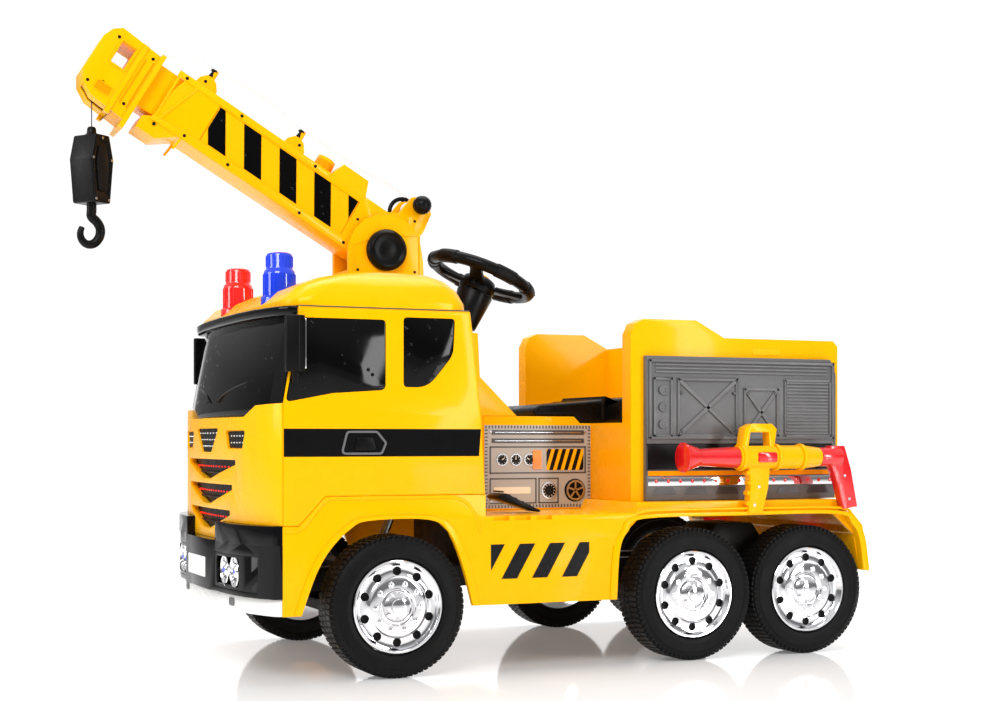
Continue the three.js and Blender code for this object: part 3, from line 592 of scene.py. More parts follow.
def frame_bars(x0, x1, z0, z1, width, y0, y1):
    return together(block(x0, x1, y0, y1, z0, z0 + width), block(x0, x1, y0, y1, z1 - width, z1),
                    block(x0, x0 + width, y0, y1, z0, z1), block(x1 - width, x1, y0, y1, z0, z1))


def raised(outline, face, proud, sunk=0.5):
    """A flat plate on the left side: proud of the face there, and sunk into it."""
    return slab(outline, -face - proud, -face + sunk)


def screws(places, y0, y1, radius=2.6, sides=16, edge=0.3):
    """Round screw heads at the places (x, z), from y0 to y1."""
    return together(*[rod(radius, y0, y1, (x, 0, z), sides=sides, edge=edge) for x, z in places])


def boom_pair(name, shape, body, material=YELLOW, **settings):
    both_sides(name, shape, material, body=body, space=along_boom, **settings)


# ---------------------------------------------------------------- cords


def declare_cord(path, space):
    """Works out the places and the length of a cord along path; nothing is made or kept."""
    points = [space(*p) for p in path]
    length = sum((b - a).length for a, b in zip(points, points[1:]))
    tuple(points[0])
    [tuple(p) for p in points]


def make_line():
    """Two thin strands from the boom head to the hook block."""
    low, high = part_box("hoist_line")
    length = (high.z - low.z) / MM
    for number, y in enumerate((-1.1, 1.1)):
        path = [(LINE_X, y, high.z / MM - length * k / 8) for k in range(9)]
        strand = add(f"hoist_strand_{number}", sweep(path, STRAND_R, 8), CORD, "line",
                     replaces=("hoist_line",))
        declare_cord(path, plain)


def make_guide_line():
    """The thin clear line that runs free over the pegs, from the boom head to the winch."""
    bends = [(505, 0, 60), (480, 0, 84), (448, 0, 106), (405, 0, 110), (350, 0, 116), (290, 0, 118),
             (225, 0, 110), (170, 0, 112), (100, 0, 112), (40, 0, 118), (-14, 0, 117)]
    route = smooth_line(bends, 4)
    start, end = along_boom(457, 0, 60), along_boom(495, 0, 60)
    piece = raw("guide_line", sweep(route, GUIDE_R, 8), along_boom)
    piece.data.materials.append(NYLON)
    piece.data.shade_smooth()
    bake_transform(piece)
    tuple(start)
    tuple(end)
    declare_cord(route, along_boom)


make_line()
make_guide_line()

# ---------------------------------------------------------------- cab and lower body


def hazard_bars(x0, x1, z0, z1, lean, first, period, width, y0, y1):
    """Leaning parallel bars in a rectangle; first is the left foot of the first bar."""
    bars = []
    x = first
    while x < x1 + abs(lean):
        outline = clipped([(x, z0), (x + width, z0), (x + width + lean, z1), (x + lean, z1)], x0, x1)
        if len(outline) > 2:
            bars.append(slab(outline, y0, y1))
        x += period
    return together(*bars)


SIDE_WINDOW = rounded([(-187, 441), (-162, 574), (-22, 574), (-22, 462, 10), (-110, 456, 40)], 7)
QUARTER_WINDOW = rounded([(8, 467), (8, 579), (97, 579), (94, 520, 40), (50, 467, 60)], 7, 8)
STRIPE = [(-189.5, 356), (139, 356), (142.5, 400), (-189.5, 400)]
HANDLE = rounded([(-98, 359, 8), (-28, 359, 8), (-20, 378, 6), (-36, 397, 8), (-88, 397, 8)], 6)


def make_cab():
    """The cab shell and roof, with the film in its window recesses and the stripe across its doors."""
    windows = [slab(shape, low, high) for shape in (SIDE_WINDOW, QUARTER_WINDOW)
               for low, high in ((-SIDE - 1, -SIDE + 2), (SIDE - 2, SIDE + 1))]
    refined("cab_shell", YELLOW, edge=3, cutters=[together(*windows)])
    for name, outline in (("side_window", SIDE_WINDOW), ("quarter_window", QUARTER_WINDOW)):
        both_sides(name, slab(outline, -SIDE + 0.9, -SIDE + 2.4), FILM, edge=0.4, segments=2)
    both_sides("door_stripe", raised(STRIPE, SIDE, 0.5), GLOSS, edge=0.2, segments=1)
    both_sides("door_handle", band(HANDLE, 3.5, -SIDE - 2.2, -SIDE), GREY, edge=0.6, segments=2)
    pull = rounded([(-76, 366), (-38, 366), (-44, 387), (-70, 387)], 5)
    both_sides("door_pull", raised(pull, SIDE, 3.6, 0), BLACK, edge=1.2, segments=3)
    refined("roof", YELLOW, edge=3)
    seam = sweep([(x, -SIDE + 0.3, ROOF_SEAM) for x in (-165, 122)], 0.8, 8)
    both_sides("roof_seam", seam, DARK_GREY)


FRONT_ARCH = [(-161, 107), (-138, 170), (-114, 210), (-82, 241), (-50, 254), (50, 254), (86, 232), (110, 178),
              (128, 112)]
REAR_ARCH = [(392, 112), (398, 196), (414, 228), (444, 248), (640, 250), (838, 249), (870, 232), (887, 205),
             (896, 146)]
ARCH_FOOT = 90
FRONT_FLARE = [(-188, 240), (-168, 240), (-150, 254), (-121, 287), (-90, 290), (40, 290), (100, 288),
               (128, 268), (142, 230)]
REAR_FLARE = [(386, 204), (412, 238), (440, 259), (520, 262), (700, 262), (846, 260), (874, 244), (892, 206),
              (900, 158)]


def arch_lip(curve, width, y0, y1):
    """A flat raised strip just outside an arch, widest at the top."""
    outer = []
    for i, point in enumerate(curve):
        ahead = Vector(curve[min(i + 1, len(curve) - 1)]) - Vector(curve[max(i - 1, 0)])
        out = Vector((-ahead.y, ahead.x)).normalized() * width
        outer.append((point[0] + out.x, point[1] + out.y * 0.5))
    return slab(curve + outer[::-1], y0, y1)


def make_lower_body():
    """The body with smooth wheel arches and step notches, the raised lips and the hazard marks."""
    shapes = [block(x, x + 28, -SIDE - 1, -SIDE + 9, 250, 262) for x in (165, 204, 243)]
    for name, arch in (("fender_lip", FRONT_ARCH), ("rear_lip", REAR_ARCH)):
        curve = smooth_line(arch, 5)
        foot = [(arch[-1][0], ARCH_FOOT), (arch[0][0], ARCH_FOOT)]
        shapes.append(slab(curve + foot, -SIDE - 2, -SIDE + 14))
        both_sides(name, arch_lip(curve, 13, -SIDE - 2.2, -SIDE + 0.6), YELLOW, edge=0.9, segments=2)
    cutters = together(*shapes)
    refined("lower_body", YELLOW, edge=3.0, cutters=[together(cutters, flipped(cutters))])
    marks = hazard_bars(160, 340, 154, 211, lean=33, first=124, period=55, width=28, y0=-SIDE - 0.6,
                        y1=-SIDE + 0.4)
    both_sides("hazard_mark", marks, BLACK, edge=0.15, segments=1)
    for name, line, radius in (("fender_flare", FRONT_FLARE, 3.2), ("rear_flare", REAR_FLARE, 2.4)):
        path = [(x, -SIDE + 1, z) for x, z in smooth_line(line)]
        both_sides(name, sweep(path, radius), YELLOW, smooth=60)


def curve_at(half_curve, y):
    """The front face's x on a half plan of (x, y) points, at a distance y from the centre plane."""
    y = abs(y)
    for (x0, y0), (x1, y1) in zip(half_curve, half_curve[1:]):
        if y <= y1:
            return x0 + (x1 - x0) * (y - y0) / (y1 - y0)
    return half_curve[-1][0]


# Half plans of the curved front faces, as (x, y) from the middle outwards.
FASCIA_CURVE = [(-240, 0), (-238, 80), (-233, 150), (-228, 200), (-216, 250), (-205, 280), (-196, 297),
                (-191.3, 303)]
GLASS_CURVE = [(-229, 0), (-226, 100), (-219, 180), (-208, 245), (-197, 287), (-191.3, 303)]
VALANCE_CURVE = [(-240, 0), (-239, 90), (-235, 170), (-226, 230), (-212, 268), (-200, 292), (-191.3, 300)]
BUMPER_CURVE = [(-256, 0), (-256, 85), (-249, 104), (-246, 170), (-236, 230), (-220, 272), (-204, 298),
                (-191.3, 303)]


def on_curve(curve):
    """Maps (y, z, proud) to a place proud of a curved front face."""
    def put(y, z, proud):
        ahead = (curve_at(curve, y + 2) - curve_at(curve, y - 2)) / 4
        normal = Vector((-1, ahead)).normalized()
        return (curve_at(curve, y) + normal.x * proud, y + normal.y * proud, z)
    return put


def front_patch(outline, proud0, proud1, curve):
    """An outline of (y, z) points laid on a curved front face, as a thin closed slab."""
    put = on_curve(curve)
    return loft([[put(y, z, proud) for y, z in outline] for proud in (proud0, proud1)])


def dots(rows, columns, place, radius, proud):
    """A grid of small round studs on the front face; place gives (y, z) for column and row."""
    stud = [(radius, 0.8), (radius, 0), (radius * 0.7, -0.9), (radius * 0.2, -1.3)]
    places = [place(column, row) for row in range(rows) for column in range(columns)]
    return together(*[turned(stud, (curve_at(FASCIA_CURVE, y) + proud, y, z), "x", 8) for y, z in places])


LAMP_Z = 170.5
GRILLE_SLOTS = [(350, 317, 165), (309, 275, 150), (267, 233, 138)]


def fascia_wing(side, inner, outer, foot_inner, foot_outer, top, bottom, radius):
    outline = [(inner, top), (outer, top), (foot_outer, bottom), (foot_inner, bottom)]
    return rounded([(side * y, z) for y, z in outline], radius)


def make_fascia():
    """The front panel: a lamp mesh in the middle, one in each wing, and three lit grille slots."""
    centre = [(-78, 402), (78, 402), (32, 362), (-32, 362)]
    recesses = [front_patch(rounded(centre, 4), -4, 3, FASCIA_CURVE)]
    recesses += [front_patch(fascia_wing(side, 115, 208, 128, 198, 398, 368, 5), -5, 3, FASCIA_CURVE)
                 for side in (-1, 1)]
    refined("front_fascia", YELLOW, edge=1.6, cutters=[together(*recesses)])
    refined("grille_insert", SATIN, edge=0.6, segments=1)
    mesh = front_patch(rounded([(y * 0.97, z) for y, z in centre], 4), -4.2, -2.6, FASCIA_CURVE)
    add("fascia_centre_mesh", mesh, SATIN, edge=0.3, segments=1)
    lights = dots(3, 7, lambda c, r: ((c - 3) * (19 - 4 * r), 394 - 11 * r), 1.1, 2.2)
    add("fascia_centre_dots", lights, PALE_LAMP)
    for side, label in ((-1, "left"), (1, "right")):
        wing = fascia_wing(side, 118, 206, 129, 196, 396.5, 369.5, 4)
        mesh = front_patch(wing, -5.2, -3.4, FASCIA_CURVE)
        add(f"fascia_wing_mesh_{label}", mesh, SATIN, edge=0.3, segments=1)
        lights = dots(2, 5, lambda c, r: (side * (138 + c * 13), 389 - 11 * r), 1.3, 3.6)
        add(f"fascia_wing_lamp_{label}", lights, PALE_LAMP)
    for number, (top, bottom, half) in enumerate(GRILLE_SLOTS):
        middle_z = (top + bottom) / 2
        lights = dots(1, 17, lambda c, r: ((c - 8) * half / 8.8, middle_z + 4), 1.5, 12.5)
        add(f"grille_lamps_{number}", lights, RED_LAMP)
        path = [(curve_at(FASCIA_CURVE, y) + 9.5, y, middle_z - 6) for y in range(-half + 8, half - 7, 12)]
        add(f"grille_rail_{number}", sweep(path, 1.8, 8), SATIN)


def leaning(points):
    """Tilts places on the windscreen's foot back with the glass."""
    foot, lean = 440, 23.4 / 137
    return [(x + lean * max(0.0, z - foot), y, z) for x, y, z in points]


def make_glass():
    """The windscreen with its pillars and wipers, the visor and the mirrors."""
    refined("windscreen", FILM, edge=1.5, segments=2, smooth=40)
    refined("sun_visor", GLOSS, edge=3)
    for side, label in ((-1, "left"), (1, "right")):
        pillar = [(side * 268, 441), (side * 302, 441), (side * 302, 575), (side * 276, 575)]
        points, faces = front_patch(rounded(pillar, 3), 0.2, 1.6, GLASS_CURVE)
        add(f"pillar_trim_{label}", (leaning(points), faces), GLOSS, edge=0.3, segments=1)
    wiper = [(-231.5, 30, 447), (-228.5, 60, 458), (-224, 120, 470), (-216, 190, 478)]
    arm = leaning(smooth_line(wiper, 3))
    add("wiper_left", sweep([(x, -y, z) for x, y, z in arm], 1.6, 8), BLACK)
    add("wiper_right", sweep(arm, 1.6, 8), BLACK)
    for side in ("left", "right"):
        refined(f"mirror_{side}", BLACK, edge=5, segments=4)
    glass = slab(rounded([(-322, 492), (-307, 492), (-307, 572), (-322, 572)], 5), -158.6, -160.4, axis="x")
    both_sides("mirror_glass", glass, CHROME, edge=0.2, segments=1)


def make_bumper():
    """The bumper with a blank plate and its lamps, and the pale valance with two slots below it."""
    refined("bumper", GLOSS, edge=3, segments=4, smooth=55)
    refined("lower_valance", WHITE, edge=0.8, segments=2)
    plate = front_patch(rounded([(-62, 153), (62, 153), (62, 187), (-62, 187)], 4), 0.0, 1.2, BUMPER_CURVE)
    add("number_plate", plate, WHITE, edge=0.4, segments=1)
    slot = rounded([(-13, 114), (13, 114), (13, 127), (-13, 127)], 5)
    for side, label in ((-1, "left"), (1, "right")):
        outline = [(y + side * 160, z) for y, z in slot]
        hole = front_patch(outline, -1.0, 1.4, VALANCE_CURVE)
        add(f"valance_slot_{label}", hole, GREY, edge=0.2, segments=1)
        make_headlamp(side, label)


def make_headlamp(side, label):
    """Two chrome reflectors in a dark pocket behind the bumper's curve, with a side marker."""
    pocket = rounded([(side * 108, 147), (side * 216, 147), (side * 216, 194), (side * 108, 194)], 9)
    refined(f"headlight_{label}", GLOSS, edge=0.5, segments=1,
            cutters=[front_patch(pocket, -13, 6, BUMPER_CURVE)])
    reflectors, bulbs, facets = [], [], []
    for y, radius in ((138, 25), (186, 27)):
        x = curve_at(BUMPER_CURVE, y) + 6
        centre = (x, side * y, LAMP_Z)
        dish = [(radius, 6.5), (radius, -1.0), (radius - 1.6, -2.0), (radius - 3.0, -1.0),
                (radius * 0.7, 2.2), (radius * 0.45, 3.6), (radius * 0.42, 1.2), (radius * 0.3, -1.6),
                (radius * 0.1, -2.2)]
        reflectors.append(turned(dish, centre, "x", 40))
        for a in steps_round(18):
            ends = [placed("x", r * math.cos(a), r * math.sin(a), along, centre)
                    for r, along in ((radius * 0.62, 1.0), (radius * 0.86, -0.9))]
            facets.append(sweep(ends, 0.9, 6))
        bulbs.append(turned([(3.4, 0.6), (3.4, -2.2), (2.4, -3.6), (0.6, -4.2)], centre, "x", 16))
    add(f"headlamp_reflector_{label}", together(*reflectors), CHROME, smooth=30)
    add(f"headlamp_facets_{label}", together(*facets), CHROME)
    add(f"headlamp_bulb_{label}", together(*bulbs), BLUE_GLOW)
    marker = rounded([(side * 226, 152), (side * 264, 152), (side * 264, 188), (side * 226, 188)], 5)
    add(f"side_marker_{label}", front_patch(marker, -5.0, -3.2, BUMPER_CURVE), PALE_LAMP, edge=0.5,
        segments=2)
    trim = rounded([(side * 103, 144), (side * 266, 144), (side * 266, 197), (side * 103, 197)], 9)
    points, faces = band(trim, 4, 0, 1)
    put = on_curve(BUMPER_CURVE)
    add(f"headlamp_trim_{label}", ([put(y, z, proud - 2.0) for y, proud, z in points], faces), CHROME)


make_cab()
make_lower_body()
make_fascia()
make_glass()
make_bumper()


# ---------------------------------------------------------------- turret, boom, winch, line and hook


def make_turret():
    refined("turret", YELLOW, edge=2.2, segments=3)
    cap = [(0, 48), (36.5, 48), (36.5, 56), (34.5, 60), (30, 63.2), (27, 61), (25, 59.8), (12, 60.6),
           (4, 61.4), (1, 61.5)]
    centre = (TURRET_X, 0, PIVOT_Z)
    pin = rod(12, -TURRET_SIDE, TURRET_SIDE, centre)
    caps = together(turned(cap, centre), flipped(turned(cap, centre)), pin)
    add("pivot_caps", caps, BLACK, "turret", replaces=("pivot_pin",), smooth=40)
    places = [(16, 768), (122, 770), (16, 680), (122, 680)]
    both_sides("turret_screws", screws(places, -TURRET_SIDE - 0.8, -TURRET_SIDE + 0.4), BLACK, body="turret")
    rib = [(8, 672), (132, 672), (132, 745), (60, 745), (8, 725)]
    both_sides("turret_rib", band(rib, 2.2, -TURRET_SIDE - 1.4, -TURRET_SIDE + 0.1), YELLOW, body="turret")


def make_outer_boom():
    body = "outer_boom"
    refined(body, YELLOW, edge=1.8, segments=3)
    lower = [(58, -35.5), (392, -35.5), (456, -35.5), (456, -27), (392, -22), (60, -19)]
    upper = [(150, 52), (456, 52), (456, 63.5), (150, 63.5)]
    for name, outline in (("lower", lower), ("upper", upper)):
        boom_pair(f"boom_{name}_flange", raised(outline, BOOM_SIDE, 1.7), body, edge=0.7, segments=2)
    make_boom_film(body)
    low = [(309, -28), (163, -28), (70, -28), (395, -28), (331, 57.5), (440, 57.5), (180, 57.5)]
    high = [(412, 72), (222, 73)]
    heads = together(screws(low, -BOOM_SIDE - 2.3, -BOOM_SIDE - 1.0, 2.9, edge=0.4),
                     screws(high, -BOOM_SIDE - 0.6, -BOOM_SIDE + 0.4, 2.9))
    boom_pair("boom_screws", heads, body, BLACK)
    peg = [(6.5, 90), (5.6, 93), (3.6, 103), (3.8, 104), (6.4, 105.2), (6.4, 107), (5.2, 108), (1, 108)]
    pegs = [turned(peg, (u, 0, 0), "z", 24) for u in (405, 225)]
    add("line_pegs", together(*pegs), BLACK, body, along_boom)
    brace = together(bar(447, -36, 414, 64, 5, -BOOM_SIDE - 1.8, -BOOM_SIDE + 0.5),
                     bar(452, 62, 452, -36, 4, -BOOM_SIDE - 1.5, -BOOM_SIDE + 0.5))
    boom_pair("boom_brace", brace, body, edge=0.7, segments=2)
    stub = [(17, 62), (17, 84), (15.5, 89.6), (12, 90.6), (11, 88.4), (1, 88.0)]
    add("boom_stub", turned(stub, (162, 0, 0), "z", 40), ORANGE, body, along_boom)
    rib = [(395, -36), (398, -58), (402, -58), (400, -36)]
    boom_pair("boom_side_rib", raised(rib, BOOM_SIDE, 1.4, 0.4), body)
    bracket_screw = screws([(447, -40)], -BOOM_SIDE - 1.2, -BOOM_SIDE + 0.5, 3, edge=0.4)
    add("boom_bracket_screw", bracket_screw, BLACK, body, along_boom)


def make_boom_film(body):
    """The film with hazard bars, in the boom's side recess."""
    u0, u1 = HAZARD_U
    film_outline = rounded([(u0, -17.5), (u1, -17.5), (u1, 50.5), (u0, 50.5)], 2)
    boom_pair("boom_film", slab(film_outline, -BOOM_SIDE + 2.1, -BOOM_SIDE + 3.3), body)
    bars = hazard_bars(u0 + 1, u1 - 1, -17, 50, lean=39, first=30, period=72.3, width=35,
                       y0=-BOOM_SIDE + 1.75, y1=-BOOM_SIDE + 2.7)
    boom_pair("boom_hazard", bars, body, FILM)


def make_inner_boom():
    body = "inner_boom"
    refined(body, YELLOW, edge=1.6, segments=3)
    places = [(567, 50), (573, -41), (503, 51), (505, -41)]
    boom_pair("head_screws", screws(places, -HEAD_SIDE - 0.8, -HEAD_SIDE + 0.5, 2.8, edge=0.4), body, BLACK)
    window = rounded([(530, 4), (562, 4), (562, 52), (530, 52)], 3)
    boom_pair("head_window_rim", band(window, 2.6, -HEAD_SIDE - 1.6, -HEAD_SIDE + 0.4), body)
    small = rounded([(533, -45), (559, -45), (559, -31), (533, -31)], 3)
    # Painted shade: the small window's recess is drawn as a thin orange plate on the head's side.
    boom_pair("head_small_window_shade", raised(small, HEAD_SIDE, 0.35, 0.4), body, ORANGE)
    rim = rounded([(531, -47), (561, -47), (561, -29), (531, -29)], 3)
    boom_pair("head_small_rim", band(rim, 1.6, -HEAD_SIDE - 1.2, -HEAD_SIDE + 0.4), body)
    # Painted shade: the two grooves round the head are drawn as thin orange strips, not cut.
    for name, u, top in (("head_groove_shade", 497, 46), ("head_rear_groove_shade", 510, 44)):
        groove = [(u, -44), (u + 3, -44), (u + 3, top), (u, top)]
        boom_pair(name, raised(groove, HEAD_SIDE, 0.4), body, ORANGE)
    make_head_underside(body)
    ear = slab(rounded([(552, 60), (570, 60), (565, 68.5), (555, 70)], 3), -8, 8)
    add("head_ear", ear, YELLOW, body, along_boom, edge=1.5)


def make_head_underside(body):
    """Plates that close the head from below, with a slot between them for the line."""
    reach, slot = 30.6, 8
    front = [(526, -61), (556, -58.7), (574.6, -47.6), (574.6, -43.8), (555, -55.6), (526, -58)]
    rear = [(499, -63), (526, -61), (526, -58), (499, -60)]
    plates = together(slab(rear, -reach, reach), slab(front, slot, reach), slab(front, -reach, -slot))
    add("head_underside", plates, YELLOW, body, along_boom, edge=0.5, segments=1)


def make_winch():
    refined("winch", BLACK, edge=1.0, segments=2)
    refined("line_guide", BLACK, edge=0.4, segments=1)
    wraps = [ring(13.0, 0.9, (WINCH_U, -20 + 2.1 * k, WINCH_V), "y", 40, 8) for k in range(20)]
    add("line_wraps", together(*wraps), NYLON, "winch", along_boom)


def make_hook_block():
    body = "hook_block"
    half = 25.0

    def place(shape):
        return moved(rolled(shape, BLOCK_TURN, "Z"), LINE_X)

    def both_faces(outline, radius, start, depth, end):
        cut = rounded(outline, radius)
        return place(together(slab(cut, -half - start, -half - start + depth), slab(cut, half - end,
                                                                                   half - end + depth)))

    edge = [(-18.5, 775.5), (18.5, 775.5), (26.2, 848), (16.2, 888.5), (-16.2, 888.5), (-26.2, 848)]
    panel = [(-13, 787), (13, 787), (19, 845), (11, 878), (-11, 878), (-19, 845)]
    inner = [(-9, 795), (9, 795), (14, 843), (8, 870), (-8, 870), (-14, 843)]
    add("hook_block_shell", place(slab(rounded(edge, 4), -half, half)), BLACK, body, edge=2.4, segments=3,
        cutters=[both_faces(panel, 3, 1.2, 2.4, 1.2)], soften=0.5, replaces=(body,))
    add("hook_block_panels", both_faces(inner, 3, 0.5, 1.6, 1.1), SATIN, body, edge=0.5, segments=2)
    places = [(-15, 781), (15, 781), (-21.5, 848), (21.5, 848), (0, 883)]
    heads = [screws(places, y, y + 1.0, 2.4, 14) for y in (-half - 0.9, half - 0.1)]
    add("hook_block_screws", place(together(*heads)), STEEL, body)
    neck = [(11, 886), (11, 890), (8, 892.5), (7.4, 900), (5.5, 903), (1, 903.2)]
    add("hook_block_neck", turned(neck, (LINE_X, 0, 0), "z", 28), BLACK, body)


def make_hook():
    """The hook's rod narrows towards its point."""
    bend = [(0, 775), (0, 764), (0, 754), (9, 745), (14.5, 733), (12, 719), (3, 709), (-8, 708), (-16, 715),
            (-18.5, 726), (-15.5, 736)]
    path = smooth_line([(LINE_X + x, 0, z) for x, z in bend])
    radii = [8.2 - 3.6 * (k / (len(path) - 1)) ** 3 for k in range(len(path))]
    add("hook_shell", sweep(path, radii, 16), BLACK, HOOK_BODY, smooth=50, replaces=("hook",))


make_turret()
make_outer_boom()
make_inner_boom()
make_winch()
make_hook_block()
make_hook()


# ---------------------------------------------------------------- wheels


def tyre_shape():
    """One tyre about its own centre, with a row of lugs round each shoulder and the middle."""
    half, lugs = 34.4, 76
    wall = [(77, half - 3), (79, half - 0.6), (84, half), (86, half + 0.4), (88, half), (100, half - 0.8),
            (102, half + 0.2), (105, half - 0.6), (110.5, half - 3.4), (113.4, half - 9)]
    shapes = [hoop([(r, -y) for r, y in wall] + [(r, y) for r, y in wall[::-1]])]
    rib = together(*[block(-1.1, 1.1, y - 1.9, y + 1.9, 105.5, 112.2) for y in (-half + 3.2, half - 3.2)])
    for angle in steps_round(lugs):
        for y0, y1, shift in ((9.0, 28.5, 0.0), (-28.5, -9.0, 0.5), (-7.0, 7.0, 0.25)):
            lug = block(-3.3, 3.3, y0, y1, 111.0, WHEEL_R - 0.2)
            shapes.append(rolled(lug, angle + shift * 2 * math.pi / lugs))
        shapes.append(rolled(rib, angle))
    return together(*shapes)


def hub_shape():
    """One hub's face, with the outer side towards -y."""
    rim = 75.4
    return turned([(rim, 28), (rim, -33.6), (rim - 1.4, -35.0), (rim - 3.6, -35.0), (rim - 5.4, -33.2),
                   (rim - 7.0, -29.5), (66.0, -27.0), (62.0, -26.2), (52.5, -26.6), (49.5, -28.6),
                   (47.0, -31.4), (44.0, -32.2), (30.5, -32.2), (28.4, -30.2), (27.0, -28.0), (25.0, -28.4),
                   (22.5, -31.6), (18.0, -34.0), (12.5, -35.2), (11.8, -36.6), (6.0, -37.4), (1.0, -37.6)],
                  sides=80)


def make_wheel(label, x, side):
    """One tyre and its chromed hub, with dark holes round the rim, windows, and studs round the middle."""
    name = f"{label}_{'left' if side < 0 else 'right'}"
    body = f"wheel_{name}"

    def place(*shapes):
        shape = together(*shapes)
        return moved(shape if side < 0 else flipped(shape), x, side * WHEEL_Y, WHEEL_R)

    def on_circle(radius, angle):
        return (radius * math.cos(angle), 0, radius * math.sin(angle))

    add(f"tyre_shell_{name}", place(tyre_shape()), TYRE, body, replaces=(f"tyre_{name}",), smooth=30)
    holes = [rod(7.2, -50, -19, on_circle(57.4, a + math.pi / 10), sides=20) for a in steps_round(10)]
    window = slab(rounded([(15.0, -4.6), (23.4, -6.2), (23.4, 6.2), (15.0, 4.6)], 1.6, 2), -50, -27.5)
    windows = [rolled(window, a + 0.3) for a in steps_round(5)]
    add(f"hub_shell_{name}", place(hub_shape()), CHROME, body, replaces=(f"hub_{name}",), smooth=32,
        cutters=[place(*holes, *windows)])
    studs = []
    for a in steps_round(10):
        centre = on_circle(37.4, a)
        studs.append(turned([(3.6, -31), (3.6, -35.0), (2.6, -36.6), (0.6, -37.0)], centre, sides=6))
        studs.append(turned([(5.2, -31), (5.2, -32.6), (4.6, -33.2), (0.6, -33.3)], centre, sides=18))
    add(f"hub_studs_{name}", place(*studs), CHROME, body)
    add(f"hub_dark_{name}", place(rod(70, -20, -18, sides=40)), BLACK, body)


for axle_label, axle_x in (("front", 0.0), ("mid", MID_X), ("rear", REAR_X)):
    for wheel_side in (-1, 1):
        make_wheel(axle_label, axle_x, wheel_side)


# ---------------------------------------------------------------- rear box, grey panels and blaster


def make_panels():
    """The grey side panels: doors with crossed braces and a louvre above a dark recess and lamp strips."""
    face = -PANEL_SIDE
    low, high = face - 3.2, face + 0.6
    x0, x1 = PANEL_X
    for side in ("left", "right"):
        refined(f"side_panel_{side}", GREY, edge=0.8, segments=2)
    relief = [
        frame_bars(x0 + 5, x1 - 5, 384, 524, 5, low, high),
        ribs(x0 + 18, x1 - 20, 499, 518, 3, low + 1, high),
        frame_bars(x0 + 62, x0 + 186, 388, 492, 5, low, high),
        bar(x0 + 66, 392, x0 + 182, 488, 7, low, high),
        bar(x0 + 66, 488, x0 + 182, 392, 7, low, high),
        frame_bars(x0 + 198, x0 + 272, 388, 476, 5, low, high),
        bar(x0 + 203, 393, x0 + 267, 471, 6, low, high),
        bar(x0 + 203, 471, x0 + 267, 393, 6, low, high),
        frame_bars(x0 + 284, x1 - 12, 388, 492, 4, low, high),
    ]
    both_sides("panel_relief", together(*relief), GREY, edge=0.6, segments=1)
    louvre = ribs(x0 + 289, x1 - 17, 391, 489, 16, low + 0.8, high)
    both_sides("panel_louvre", louvre, GREY, edge=0.5, segments=1)
    centres = [(x0 + 33, 0, z) for z in (410, 440, 470)]
    rim = [(5, low - 0.6), (8, low - 0.6), (8, high), (5, high)]
    bosses = together(frame_bars(x0 + 14, x0 + 52, 388, 492, 4, low, high),
                      *[rod(8, low + 0.4, high, centre, sides=28, edge=0.8) for centre in centres],
                      *[hoop(rim, centre, sides=28) for centre in centres])
    both_sides("panel_bosses", bosses, GREY, edge=0.3, segments=1)
    bolts = [(x0 + x, z) for x in (70, 178, 206, 264) for z in (398, 466)]
    both_sides("panel_bolts", screws(bolts, low - 1.0, high, 3.2, edge=0.6), DARK_GREY)
    make_panel_strips(x0, x1, face)


def make_panel_strips(x0, x1, face):
    """Below each panel's doors: the recess, an orange strip, a chrome strip with lamps, and slots."""
    recess = block(x0 + 6, x1 - 6, face + 3.4, face + 4.9, 331, 375)
    both_sides("recess_back", recess, BLACK, edge=0.3, segments=1)
    orange = block(x0 + 4, x1 - 4, face - 1.4, face + 0.6, 319.5, 328)
    both_sides("orange_strip", orange, ORANGE, edge=0.7, segments=2)
    strip = block(x0 + 4, x1 - 4, face - 1.0, face + 0.6, 302, 317.5)
    both_sides("lamp_strip", strip, CHROME, edge=0.6, segments=2)
    lamp = [(3.4, face), (3.4, face - 1.2), (2.4, face - 2.2), (0.6, face - 2.5)]
    lamps = [turned(lamp, (x0 + 20 + 24.2 * k, 0, 309.8), sides=16) for k in range(16)]
    both_sides("strip_lamps", together(*lamps), RED_LENS)
    slot = [(12, 286), (62, 286), (54, 299), (20, 299)]
    slots = [slab([(x0 + x + 64 * k, z) for x, z in slot], face - 0.5, face + 0.6) for k in range(6)]
    both_sides("strip_slots", together(*slots), DARK_GREY, edge=0.3, segments=1)


def make_rear_box():
    refined("rear_box", YELLOW, edge=7, segments=5)
    for side in ("left", "right"):
        refined(f"tail_lamp_{side}", RED_LENS, edge=2)
    badge = rounded([(700, 536), (760, 536), (760, 548), (700, 548)], 4)
    both_sides("box_badge", raised(badge, BOX_SIDE, 1.0), YELLOW, edge=0.4, segments=1)


def make_seat():
    refined("seat", BLACK, edge=8, segments=5)
    label = slab(rounded([(582, -36), (622, -36), (622, 36), (582, 36)], 6), 463.0, 466.1, axis="z")
    add("seat_label", label, CREAM, edge=0.2, segments=1)


def make_console():
    refined("console", YELLOW, edge=4)
    refined("seat_box", YELLOW, edge=3)
    refined("pedal", BLACK, edge=1.4, segments=2)
    slope = (292 - 261) / (288 - 222)
    grips = []
    for k in range(5):
        x = 219 + 12.5 * k
        z = 292.8 - (x - 222) * slope
        grips.append(sweep([(x, -218, z), (x, -178, z)], 1.5, 8))
    add("pedal_grips", together(*grips), SATIN, "pedal")


